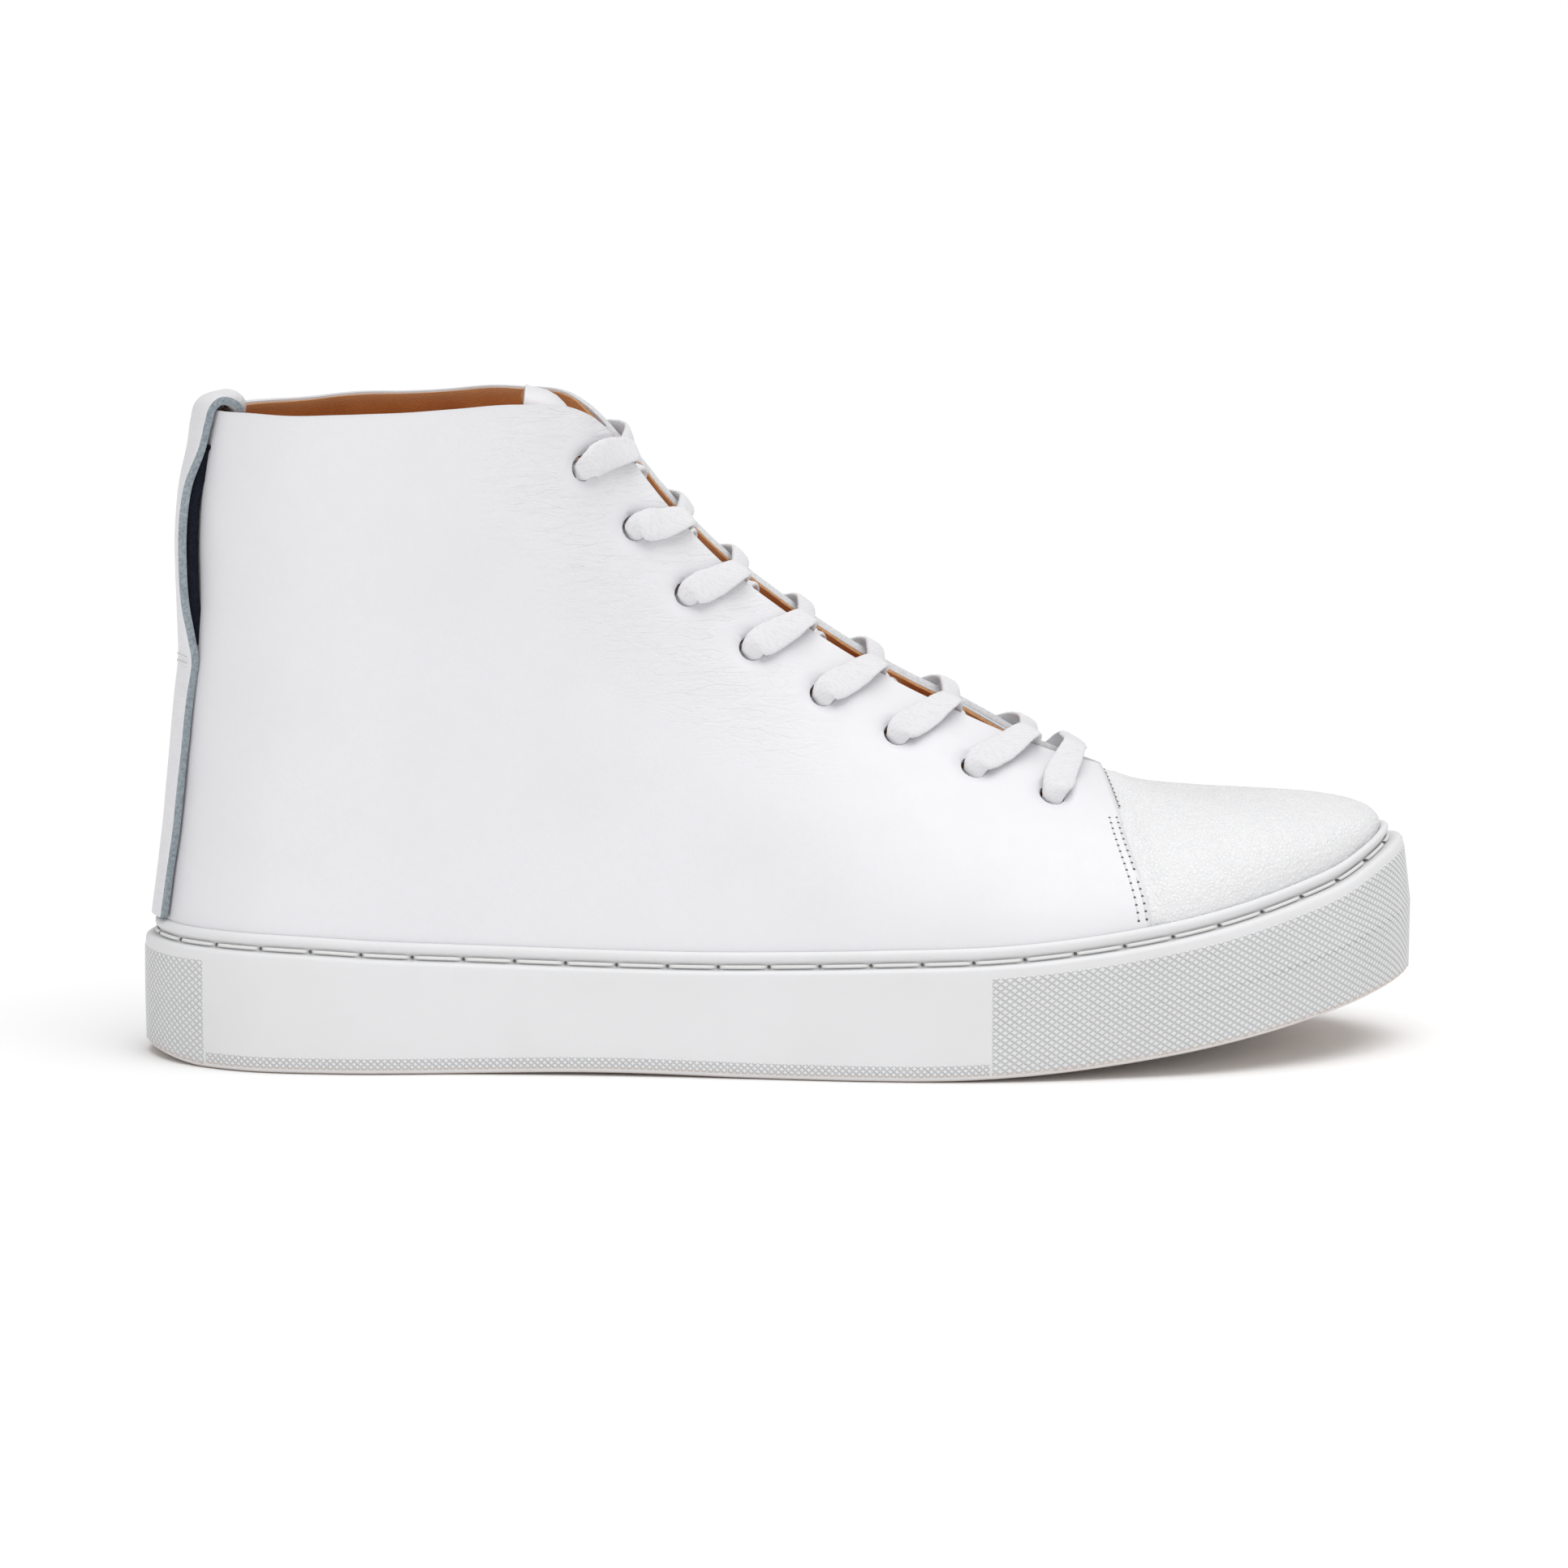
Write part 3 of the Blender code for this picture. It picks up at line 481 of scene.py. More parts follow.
def fabric():
    """A plain woven textile."""
    look = Look("cotton_drill_lining", (0.74, 0.73, 0.70), 0.9, Sheen_Weight=0.2)
    warp, weft = (look.noise(0.5, 1, 0.5, stretch) for stretch in ((3, 0.6, 1), (0.6, 3, 1)))
    weave = look.math("MULTIPLY", warp, weft)
    look.raise_by(weave, 0.2)
    # Painted shade between the yarns: the low parts of the weave are darker.
    look.tint(look.spread(weave, 0.2, 0.35, 0.4, 0), (0.6, 0.59, 0.56))
    return look.done()


def fibreboard():
    look = Look("fibreboard", (0.38, 0.27, 0.17), 0.9)
    look.mottle((0.27, 0.18, 0.11), 0.8, 5, 0.45, 0.6, rough=0.7)
    look.relief(0.5, 4, 0.7, 0.1)
    return look.done()


def foam():
    look = Look("grey_foam", (0.55, 0.55, 0.56), 0.95)
    pores = look.pits(0.8, 0.2, 0.2)
    # Painted shade in the pores.
    look.tint(look.spread(pores, 0, 0.5, 0.6, 0), (0.36, 0.36, 0.37))
    return look.done()


def spring_steel():
    look = Look("spring_steel", (0.5, 0.5, 0.52), 0.35, 1.0)
    look.rough(1.2, 3, 0.28, 0.45, (0.1, 1, 1))
    look.relief(0.6, 2, 0.5, 0.01, (0.05, 1, 1))
    return look.done()


def aglet_plastic():
    look = Look("clear_aglet_film", (0.80, 0.80, 0.80), 0.2, Specular_IOR_Level=0.6)
    look.rough(1.5, 2, 0.15, 0.3)
    look.relief(0.7, 2, 0.5, 0.05)
    return look.done()


SMOOTH, GRAIN, TAN = smooth_leather(), grain_leather(), tan_leather()
WHITE_EDGE = cut_edge("white_leather_cut_edge", (0.74, 0.745, 0.76), (0.60, 0.61, 0.63))
BLUE_EDGE = cut_edge("blue_grey_cut_edge", (0.36, 0.41, 0.44), (0.22, 0.26, 0.29))
TAN_EDGE = cut_edge("tan_leather_cut_edge", (0.60, 0.32, 0.15), (0.42, 0.19, 0.07))
RUBBER, COTTON, THREAD, HOLE_SHADE, NAVY_AND_SHADE = rubber(), cotton(), thread(), shadowed(), navy_backing_and_shade()


# ---- Mesh helpers --------------------------------------------------------------------------

def place(points):
    return (np.asarray(points, float) + TO_CENTRE) * MM


def link(name, data):
    obj = bpy.data.objects.new(name, data)
    bpy.context.scene.collection.objects.link(obj)
    return obj


def set_values(obj, **values):
    """Gives each point of a mesh the values that its material reads."""
    for key, numbers in values.items():
        layer = obj.data.attributes.new(key, "FLOAT", "POINT")
        layer.data.foreach_set("value", np.asarray(numbers, np.float32).ravel())


def piece(name, points, faces, look, stands_for=(), slot=None, body="shoe", **values):
    """A mesh that rides on a body, from points in the design frame and faces of their numbers.
    A list of faces, which may have any number of corners, is turned to face outwards."""
    given = isinstance(faces, list)
    mesh = bpy.data.meshes.new(name)
    mesh.from_pydata(place(points).tolist(), [], faces if given else faces.tolist())
    mesh.shade_smooth()
    mesh.materials.append(look)
    obj = link(name, mesh)
    if given:
        face_outwards(obj)
    set_values(obj, **values)
    if body:
        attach(obj, body)
    if stands_for:
        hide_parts(*stands_for)
    return obj


def grid_faces(rows, columns, flip=False, start=0, loop=False):
    """Quads over a grid of rows and columns. A loop joins its last column to its first."""
    i, j = np.meshgrid(np.arange(rows - 1), np.arange(columns if loop else columns - 1), indexing="ij")
    k = (j + 1) % columns
    here, above = i * columns, (i + 1) * columns
    quads = np.stack([here + j, here + k, above + k, above + j], -1).reshape(-1, 4) + start
    return quads if flip else quads[:, ::-1]


def edit_mesh(obj, change):
    bm = bmesh.new()
    bm.from_mesh(obj.data)
    change(bm)
    bm.to_mesh(obj.data)
    bm.free()


def face_outwards(obj):
    edit_mesh(obj, lambda bm: bmesh.ops.recalc_face_normals(bm, faces=bm.faces))


def remove_loose(bm):
    bmesh.ops.delete(bm, geom=[v for v in bm.verts if not v.link_faces], context="VERTS")


def weld(obj, distance=1e-6):
    def change(bm):
        bmesh.ops.remove_doubles(bm, verts=bm.verts, dist=distance)
        bmesh.ops.dissolve_degenerate(bm, edges=bm.edges, dist=1e-7)
        remove_loose(bm)
    edit_mesh(obj, change)


HOLE_REACH = 8                 # an eyelet is cut through what is this near it along its axis
HOLE_MARGIN = 0.45             # points nearer its edge than this are moved to it


def thicken(obj, thickness, edge=None, bevel=0.0):
    """Makes a surface solid inwards. Its edge takes its own material and may be rounded."""
    solid = obj.modifiers.new("thickness", "SOLIDIFY")
    solid.thickness = thickness * MM
    solid.offset = -1
    if edge:
        obj.data.materials.append(edge)
        solid.material_offset_rim = len(obj.data.materials) - 1
    if bevel:
        rounding = obj.modifiers.new("rounded edge", "BEVEL")
        rounding.width = bevel * MM
        rounding.segments = 2
        rounding.limit_method = "ANGLE"
        rounding.angle_limit = math.radians(50)


def with_holes(points, side):
    """The points and faces of a grid with the eyelets open: faces inside a hole are left out,
    and the points round it move to its edge."""
    faces = grid_faces(*points.shape[:2], flip=side == MEDIAL)
    flat = points.reshape(-1, 3).copy()
    keep = np.ones(len(faces), bool)
    for centre, facing in zip(EYELET_AT[side], EYELET_FACING[side]):
        offset = flat - centre
        off_plane = offset @ facing
        radial = offset - off_plane[:, None] * facing
        distance = np.linalg.norm(radial, axis=1)
        dead = (np.abs(off_plane) < HOLE_REACH) & (distance < EYELET_RADIUS - HOLE_MARGIN)
        gone = dead[faces].any(axis=1)
        keep &= ~gone
        rim = np.zeros(len(flat), bool)
        rim[faces[gone].ravel()] = True
        rim &= ~dead
        flat[rim] += radial[rim] * (EYELET_RADIUS / distance[rim] - 1)[:, None]
    return flat, faces[keep]


def punched(name, points, side, look, thickness, trim, bevel, **rest):
    """A layer of the upper with its eyelets punched."""
    obj = piece(name, *with_holes(points, side), look, **rest)
    edit_mesh(obj, remove_loose)
    thicken(obj, thickness, trim, bevel)


def tubes(runs, radius, sides=8):
    """Round tubes along several runs of points. Radius may be a list, one for each point."""
    points, faces = [], []
    start = 0
    for run in runs:
        run = np.asarray(run, float)
        size = np.broadcast_to(np.asarray(radius, float), len(run))
        ahead = unit(np.gradient(run, axis=0))
        helper = np.where(np.abs(ahead[:, 2:3]) > 0.9, [[1.0, 0, 0]], [[0, 0, 1.0]])
        across = unit(np.cross(ahead, helper))
        up = np.cross(across, ahead)
        turn = np.linspace(0, 2 * np.pi, sides, endpoint=False)
        ring = (run[:, None] + size[:, None, None] * (np.cos(turn)[None, :, None] * across[:, None]
                                                      + np.sin(turn)[None, :, None] * up[:, None]))
        points.append(ring.reshape(-1, 3))
        faces.extend(grid_faces(len(run), sides, start=start, loop=True).tolist())
        faces.append([start + k for k in range(sides)])
        faces.append([start + (len(run) - 1) * sides + k for k in range(sides)][::-1])
        start += len(run) * sides
    return np.vstack(points), faces


def stitches_along(line, normals, pitch, start, inset, lift, bow):
    """Bowed stitches along a line on a surface, and the point and normal at each of their ends."""
    walked = walk(line)
    marks = np.arange(start, walked[-1], pitch)
    hump = lift + bow * np.sin(np.pi * np.linspace(0, 1, 7)) ** 0.6 - 0.1
    runs = []
    for a, b in zip(marks, marks[1:]):
        at = np.linspace(a + inset, b - inset, 7)
        runs.append(read(at, walked, line) + read(at, walked, normals) * hump[:, None])
    return runs, list(zip(read(marks, walked, line), read(marks, walked, normals)))


# ---- The sole ------------------------------------------------------------------------------

def cup_point(at, out, flare, height):
    """A point of the cup sole, at 0 to 1 round from the heel. The toe flares further out."""
    at, out, flare = np.broadcast_arrays(np.asarray(at, float), out, flare)
    toe = ramp(round_sole(at)[..., 0], 70, 140)
    xy = round_sole(at, out + flare * toe)
    return np.concatenate([xy, height(xy[..., 0])[..., None]], -1)


BEAD_DROP, BEAD_ROUND = 1.25, (1.2, 1.3)   # middle of the bead below the rim, and its half sizes
LIP_DROP = 5.25                            # where the lip has turned down into the wall
SKIRTING = 1.2                             # height of the rounded lower edge


def below_rim(drop):
    return lambda x: rim_height(x) - drop


def above_tread(rise):
    return lambda x: sole_bottom(x) + rise


def wall_point(at, share):
    """A point of the side wall, from the lip (share 0) down to its rounded lower edge (1)."""
    out = np.interp(share, (0, 0.1, 0.5, 1), (4.05, 4.15, 4.2, 4.0))
    flare = np.interp(share, (0, 0.15, 0.5, 1), (1.5, 2.0, 3.2, 3.2))

    def height(x):
        top, bottom = rim_height(x) - LIP_DROP, sole_bottom(x) + SKIRTING
        return top + (bottom - top) * share
    return cup_point(at, out, flare, height)


def wall_length(at):
    """Height of the flat part of the side wall."""
    x = round_sole(at, WALL_OUT)[..., 0]
    return rim_height(x) - LIP_DROP - sole_bottom(x) - SKIRTING


def add_rungs(points, faces, count, steps, flip):
    """Closes the last ring of points with rungs from one side to the other. Each has points
    between its ends."""
    ring_start = len(points) - count
    ring = points[ring_start:]
    half_count = count // 2
    rungs = []
    for i in range(half_count + 1):
        if i in (0, half_count):
            rungs.append([ring_start + i] * (steps + 1))
            continue
        j = count - i
        base = len(points)
        points = np.vstack([points, [blend(ring[i], ring[j], k / steps) for k in range(1, steps)]])
        rungs.append([ring_start + i, *range(base, base + steps - 1), ring_start + j])
    for a, b in zip(rungs, rungs[1:]):
        for k in range(steps):
            face = list(dict.fromkeys([a[k], a[k + 1], b[k + 1], b[k]]))
            faces.append(face[::-1] if flip else face)
    return points


GROOVE_SHADE, WALL_BOTTOM_TINT = 0.22, 0.55      # how dark the painted shade in the stitch groove is, and the darker, warmer tint along the lower edge


def make_cup():
    half = np.linspace(0, 1, 421)
    lateral, medial = blend(TOE_AT, 0, half), blend(TOE_AT, 1, half)
    at = np.concatenate([lateral, medial[::-1][1:-1]])
    count = len(at)

    # The outside: the bead, the groove under it, the lip, the wall and its rounded lower edge.
    rows = []
    for turn in np.radians(np.linspace(112, -62, 11)):
        rows.append((0.55 + BEAD_ROUND[0] * math.cos(turn), 0.35,
                     BEAD_DROP - BEAD_ROUND[1] * math.sin(turn)))
    rows += [(0.95, 0.4, 2.65), (0.88, 0.4, 3.1), (0.98, 0.4, 3.65), (1.4, 0.5, 3.98),
             (2.1, 0.8, 4.1), (2.75, 1.1, 4.12)]
    for turn in np.radians((70, 45, 20)):
        rows.append((3.05 + math.cos(turn), 1.3, LIP_DROP - 1.12 * math.sin(turn)))
    rows = [cup_point(at, out, flare, below_rim(drop)) for out, flare, drop in rows]
    rows.extend(wall_point(at, share) for share in np.linspace(0, 1, 20))
    for out, flare, rise in ((3.86, 3.1, 0.75), (3.45, 2.8, 0.3), (2.7, 2.5, 0.05), (1.9, 2.4, 0.0)):
        rows.append(cup_point(at, out, flare, above_tread(rise)))
    faces = grid_faces(len(rows), count, loop=True).tolist()
    points = add_rungs(np.vstack(rows), faces, count, 16, True)

    # The inside of the cup and its floor.
    inner = [cup_point(at, 0.06, 0, below_rim(drop)) for drop in (0.45, 6, 15)]
    inner.append(cup_point(at, 0.3, 0, above_tread(TREAD)))
    base = len(points)
    points = np.vstack([points, *inner])
    faces.extend(grid_faces(len(inner), count, loop=True, flip=True, start=base).tolist())
    for i in range(count):
        j = (i + 1) % count
        faces.append([i, j, base + j, base + i])
    points = add_rungs(points, faces, count, 2, False)

    height = points[:, 2] - sole_bottom(points[:, 0])
    # Painted shade darkens the stitch groove under the bead.
    groove = np.zeros(len(points))
    groove[11 * count:16 * count] = GROOVE_SHADE
    piece("cup_sole", points, faces, RUBBER, stands_for=["cupsole"], slot="rubber",
          ground=WALL_BOTTOM_TINT * (1 - ramp(height, 0.1, 0.9)) * (points[:, 2] < 25), groove=groove)


CELL = (2.2, 1.65)             # one diamond of the knurling, along and up the wall
CELL_STEPS = 6                 # mesh steps to a diamond
KNURL_RAISED, KNURL_SUNK = 0.19, 0.12      # how far it stands off the wall, and reaches into it
KNURL_GROOVE_SHADE, KNURL_BOTTOM_TINT = 0.85, 0.5       # how dark the painted shade in its grooves is, and the darker, warmer tint along its lower edge
KNURL_BACK, KNURL_OVERLAP = 0.8, 0.25      # depth of its back, and how far it runs past the wall


def knurled(name, first, last, top, bottom=None, cell=CELL):
    """A raised knurled panel on the wall, between two places round it. Its top is a distance
    below the lip, and its height is all of the wall or the given strip above the lower edge."""
    fine = np.linspace(first, last, 3000)
    walked = walk(wall_point(fine % 1, 0.5))
    step, rise = cell[0] / CELL_STEPS, cell[1] / CELL_STEPS
    columns = int(walked[-1] / step) + 1
    at = np.interp(np.arange(columns) * step, walked, fine) % 1
    length = wall_length(at)
    start = np.full(columns, float(top)) if bottom is None else length - bottom
    rows = int(((length - start).max()) / rise) + 2
    j, i = np.meshgrid(np.arange(rows), np.arange(columns), indexing="ij")
    lowest = length[None] + KNURL_OVERLAP
    down = np.minimum(start[None] + j * rise, lowest)
    base = wall_point(np.broadcast_to(at, down.shape), down / length[None])

    # Steps to the nearest groove, of which there are two slanted families.
    gap = np.minimum.reduce([way % CELL_STEPS for way in (i + j, -i - j, i - j, j - i)])
    height = np.where(gap == 1, KNURL_RAISED * 0.9, KNURL_RAISED)
    height = np.where(gap == 0, -KNURL_SUNK * 0.3, height)
    edge = (i == 0) | (i == columns - 1) | (j == 0) | (down >= lowest)
    along = np.gradient(base, axis=1)
    outward = np.stack([along[..., 1], -along[..., 0], np.zeros_like(along[..., 0])], -1)
    outward = unit(outward) * (1 if last > first else -1)
    points = base + outward * np.where(edge, -KNURL_SUNK, height)[..., None]

    # Each quad is split along its groove.
    quads = grid_faces(rows, columns, flip=last < first)
    in_groove = (gap == 0).ravel()[quads]
    turned = (in_groove[:, 1] & in_groove[:, 3])[:, None]
    quads = np.where(turned, np.roll(quads, -1, axis=1), quads)
    faces = np.concatenate([quads[:, [0, 1, 2]], quads[:, [0, 2, 3]]]).tolist()

    # The back closes the panel inside the wall.
    flat = points.reshape(-1, 3)
    top_back, low_back = len(flat), len(flat) + columns
    flat = np.vstack([flat, *(base[row] - outward[row] * KNURL_BACK for row in (0, -1))])
    strips = (0, top_back, low_back, (rows - 1) * columns)
    for k in range(columns - 1):
        faces.extend([a + k, a + k + 1, b + k + 1, b + k] for a, b in zip(strips, strips[1:]))
    for k, order in ((0, 1), (columns - 1, -1)):
        side = [row * columns + k for row in range(rows)] + [low_back + k, top_back + k]
        faces.append(side[::order])
    # Painted shade darkens the grooves between the diamonds.
    groove = np.where((gap == 0) & ~edge, KNURL_GROOVE_SHADE, 0.0)
    rise_over = flat[:, 2] - sole_bottom(flat[:, 0])
    obj = piece(name, flat, faces, RUBBER, slot="rubber",
                groove=np.concatenate([groove.ravel(), np.zeros(2 * columns)]),
                ground=KNURL_BOTTOM_TINT * (1 - ramp(rise_over, 1.1, 2.0)))
    weld(obj)
    face_outwards(obj)
    obj.data.shade_flat()


def place_at_x(x, side):
    """Where round the sole the wall passes a place along the shoe, on one side."""
    at = np.linspace(0.02, TOE_AT, 600) if side == LATERAL else np.linspace(TOE_AT, 0.98, 600)
    line = round_sole(at, WALL_OUT)[:, 0]
    return np.interp(x, line, at) if side == LATERAL else np.interp(-x, -line, at)


KNURL_FROM, KNURL_TO = 47, -137            # where the toe and heel knurling end
KNURL_TOP = 1.4                            # smooth band under the lip
STRIP, STRIP_CELL = 2.9, (1.6, 1.45)       # height of the strip along the waist, and its diamond


def make_knurling():
    toe = place_at_x(KNURL_FROM, LATERAL), place_at_x(KNURL_FROM, MEDIAL)
    heel = place_at_x(KNURL_TO, MEDIAL), 1 + place_at_x(KNURL_TO, LATERAL)
    knurled("toe_knurling", *toe, KNURL_TOP)
    knurled("heel_knurling", *heel, KNURL_TOP)
    knurled("lateral_waist_knurling", heel[1] - 1, toe[0], 0, STRIP, STRIP_CELL)
    knurled("medial_waist_knurling", toe[1], heel[0], 0, STRIP, STRIP_CELL)


STITCH, STITCH_GAP = 12.0, 0.35            # spacing of the sidewall stitches, and half their gap


def make_sidewall_stitches():
    fine = np.linspace(0, 1, 4001)
    walked = walk(cup_point(fine % 1, 1.3, 0.5, below_rim(3.2)))
    count = round(walked[-1] / STITCH)
    span = walked[-1] / count
    shape = np.linspace(0, 1, 13)
    proud = np.minimum(ramp(shape, 0, 0.12), ramp(1 - shape, 0, 0.12))
    runs, pits = [], []
    for mark in walked[-1] * (np.arange(count) + 0.5) / count:
        along = (mark + STITCH_GAP + shape * (span - 2 * STITCH_GAP)) % walked[-1]
        at = np.interp(along, walked, fine)
        runs.append(cup_point(at % 1, 0.75 + 0.72 * proud, 0.45, below_rim(3.32 + 0.16 * (1 - proud))))
        here = np.interp(mark, walked, fine)
        inner = cup_point(here, 0.7, 0.45, below_rim(3.1))
        outer = cup_point(here + 0.0006, 1.75, 0.6, below_rim(3.55))
        pits.append(np.array([blend(inner, outer, k) for k in (0, 0.3, 0.65, 1)]))
    piece("sidewall_stitches", *tubes(runs, 0.43), THREAD, stands_for=["sidewall_thread"], slot="thread")
    # Dark pits at the needle points paint the shade inside the holes.
    piece("sidewall_needle_points", *tubes(pits, [0.16, 0.3, 0.26, 0.08]), HOLE_SHADE)


# ---- The upper -----------------------------------------------------------------------------

def wave(points, size, seed):
    """Smooth noise at each point, about -1 to 1, with features of a size in millimetres."""
    flat = points.reshape(-1, 3) / size + seed
    return np.array([noise.noise(Vector(p)) for p in flat]).reshape(points.shape[:-1])


def near_eyelets(points, side, reach):
    """1 at an eyelet's edge, 0 beyond its reach."""
    distance = np.full(points.shape[:-1], 1e9)
    for centre in EYELET_AT[side]:
        distance = np.minimum(distance, np.linalg.norm(points - centre, axis=-1))
    return distance, 1 - ramp(distance, EYELET_RADIUS, EYELET_RADIUS + reach)


def upper_grid(side, t, s):
    t, s = np.meshgrid(t, s)
    return t, s, upper_point(side, t, s), upper_normal(side, t, s)


FINE, COARSE = 0.95, 1.4       # spacing of a layer's rows where it shows, and where it doesn't


def heights(step):
    """Rows up the upper, from where it is lasted under the foot."""
    return np.concatenate([np.linspace(-0.8, -0.05, 8), np.linspace(0, 1, int(120 / step))])


def seam_front(s):
    """How far the toe seam's edge runs on toward the toe, low on the foot."""
    return 0.0055 * (1 - ramp(s, 0, 0.6))


def collar_sway(face, t, s):
    """How far the collar's edge rises and falls along its length."""
    sway = 0.6 * wave(face * (1, 0.3, 0.1), 17, 5.2) * ramp(s, 0.93, 1)
    return sway * ramp(t, CORNER + 0.03, CORNER + 0.1) * (1 - ramp(t, 0.92, 0.97))


def make_quarter(side):
    t, s = np.meshgrid(np.linspace(SEAM, 0.995, 250), heights(FINE))
    forward = t - seam_front(s) * (1 - ramp(t, SEAM, SEAM + 0.05))
    face, normal = upper_point(side, forward, s), upper_normal(side, forward, s)
    distance, pull = near_eyelets(face, side, 3.6)
    swell = 0.22 * wave(face, 24, 3.1) * ramp(s, 0.02, 0.15)
    swell += 0.12 * wave(face, 9, 7.7) * ramp(s, 0.35, 0.75)
    swell *= ramp(t, SEAM + 0.015, SEAM + 0.04)
    ripple = 0.55 * wave(face * (1, 1, 0.15), 13, 1.3) * ramp(s, 0.86, 1)
    ripple *= ramp(t, CORNER, CORNER + 0.06) * (1 - ramp(t, 0.9, 0.96))
    skive = -0.1 * (1 - ramp(t, SEAM, SEAM + 0.004))
    dip = -0.75 * pull ** 2
    shaped = face + normal * np.clip(swell + ripple + skive + dip, -0.9, 0.6)[..., None]
    shaped[..., 2] += collar_sway(face, t, s)
    throat = ramp(distance, 4, 9) * (1 - ramp(distance, 14, 40))
    crease = throat * ramp(t, 0.36, 0.46) * (1 - ramp(t, 0.68, 0.78)) * ramp(s, 0.35, 0.6)
    # Painted shade along the front edge over the toe seam, and a darker band on the top edge near the
    # front of the collar.
    edge_darkening = 0.16 * ramp(s, 0.99, 1) * ramp(t, CORNER - 0.1, CORNER) + 0.4 * (t == SEAM)
    name = WORDS[side] + "_quarter"
    punched(name + "_leather", shaped, side, SMOOTH, LEATHER, WHITE_EDGE, 0.22, stands_for=[name],
            slot="white_leather", crease=crease, edge=edge_darkening)


def lining_depth(t, s):
    """The lining's depth: deeper over the counter and the lace stay, and tight at the collar."""
    heel = ramp(t, 0.66, 0.71) * (1 - ramp(s, 0.50, 0.60))
    facing = (1 - ramp(t, CORNER + 0.02, CORNER + 0.05)) * ramp(s, 0.50, 0.60)
    depth = blend(THIN_LINING_DEPTH, LINING_DEPTH, np.maximum(heel, facing))
    collar = ramp(s, 0.95, 1) * ramp(t, CORNER - 0.02, CORNER + 0.03)
    throat = ramp(s, 0.93, 1) * (1 - ramp(t, CORNER - 0.02, CORNER + 0.03))
    return blend(blend(depth, LEATHER + 0.05, collar), LEATHER + STAY + 0.1, throat)


def make_lining(side):
    t = np.linspace(SEAM + 0.03, 0.995, 170)
    t, s, face, normal = upper_grid(side, t, heights(COARSE))
    past_corner = ramp(t, CORNER - 0.02, CORNER + 0.03)
    fray = 0.14 * wave(face, 2.2, 4.4) * ramp(s, 0.985, 1) * (1 - past_corner)
    out = 0.28 * wave(face, 16, 9.9) * (1 - ramp(s, 0.9, 1)) - lining_depth(t, s) + fray
    shaped = face + normal * out[..., None]
    shaped[..., 2] += collar_sway(face, t, s) - 0.5 * ramp(s, 0.97, 1) * ramp(t, CORNER - 0.02, CORNER)
    name = WORDS[side] + "_lining"
    punched(name + "_leather", shaped, side, TAN, LINING, TAN_EDGE, 0.15, stands_for=[name],
            slot="tan_leather", edge=0.6 * ramp(s, 0.97, 1))


def make_stay(side):
    t = np.linspace(SEAM + 0.03, CORNER - 0.01, 90)
    t, s, face, normal = upper_grid(side, t, np.linspace(0.66, 1, 30))
    depth = blend(STAY_DEPTH, LEATHER + 0.06, ramp(s, 0.93, 1))
    name = WORDS[side] + "_eyelet_stay"
    punched(name + "_strip", face - normal * depth[..., None], side, WHITE_EDGE, STAY, WHITE_EDGE, 0,
            stands_for=[name], slot="fibre")


def toe_halves(t, s, depth):
    """The two halves over the toe, which meet at the tip and along the ridge."""
    t, s = np.meshgrid(t, s)
    read_at = np.where(s == 1, np.maximum(t, 0.02), t)
    normals = {side: upper_normal(side, read_at, s) for side in WORDS}
    both = unit(normals[LATERAL] + normals[MEDIAL])
    meeting = ((s == 1) | (t == 0))[..., None]
    deep = depth(t)[..., None]
    for side in WORDS:
        normal = np.where(meeting, both, normals[side])
        yield side, s, upper_point(side, t, s) - normal * deep, normal


PEBBLE, PEBBLE_HEIGHT = 1.25, 0.16         # size of the grain's cells, and how far they stand up


def pebbles(points):
    """Height of a pebbled grain at each point, 0 in its furrows and 1 on its cells."""
    near = [noise.voronoi(Vector(point) / PEBBLE)[0] for point in points.reshape(-1, 3)]
    height = np.array([second - first for first, second, *_ in near])
    return ramp(height, 0.0, 0.45).reshape(points.shape[:-1])


def cap_depth(t):
    """The toe cap dips under the quarters towards the seam."""
    under = (LEATHER - 0.25) * ramp(t, SEAM + 0.002, SEAM + 0.02)
    return 0.5 * ramp(t, SEAM - 0.018, SEAM - 0.007) + under


def make_toe_cap():
    t = np.concatenate([np.linspace(0, SEAM, 150), [SEAM + 0.012, SEAM + 0.022]])
    points, faces, start = [], [], 0
    for side, s, face, normal in toe_halves(t, heights(FINE), cap_depth):
        swell = 0.10 * wave(face, 14, 2.2) * ramp(s, 0.02, 0.2)
        raised = face + normal * (PEBBLE_HEIGHT * (pebbles(face) - 0.6) + swell)[..., None]
        points.append(raised.reshape(-1, 3))
        faces.append(grid_faces(*s.shape, flip=side == MEDIAL, start=start))
        start += s.size
    obj = piece("grained_toe_cap", np.vstack(points), np.vstack(faces), GRAIN,
                stands_for=["toe_cap"], slot="grain_leather")
    weld(obj, 2e-5)
    thicken(obj, LEATHER - 0.2, WHITE_EDGE)


# ---- Seams ---------------------------------------------------------------------------------

SEAM_PITCH = 1.95              # spacing of the toe seam's stitches


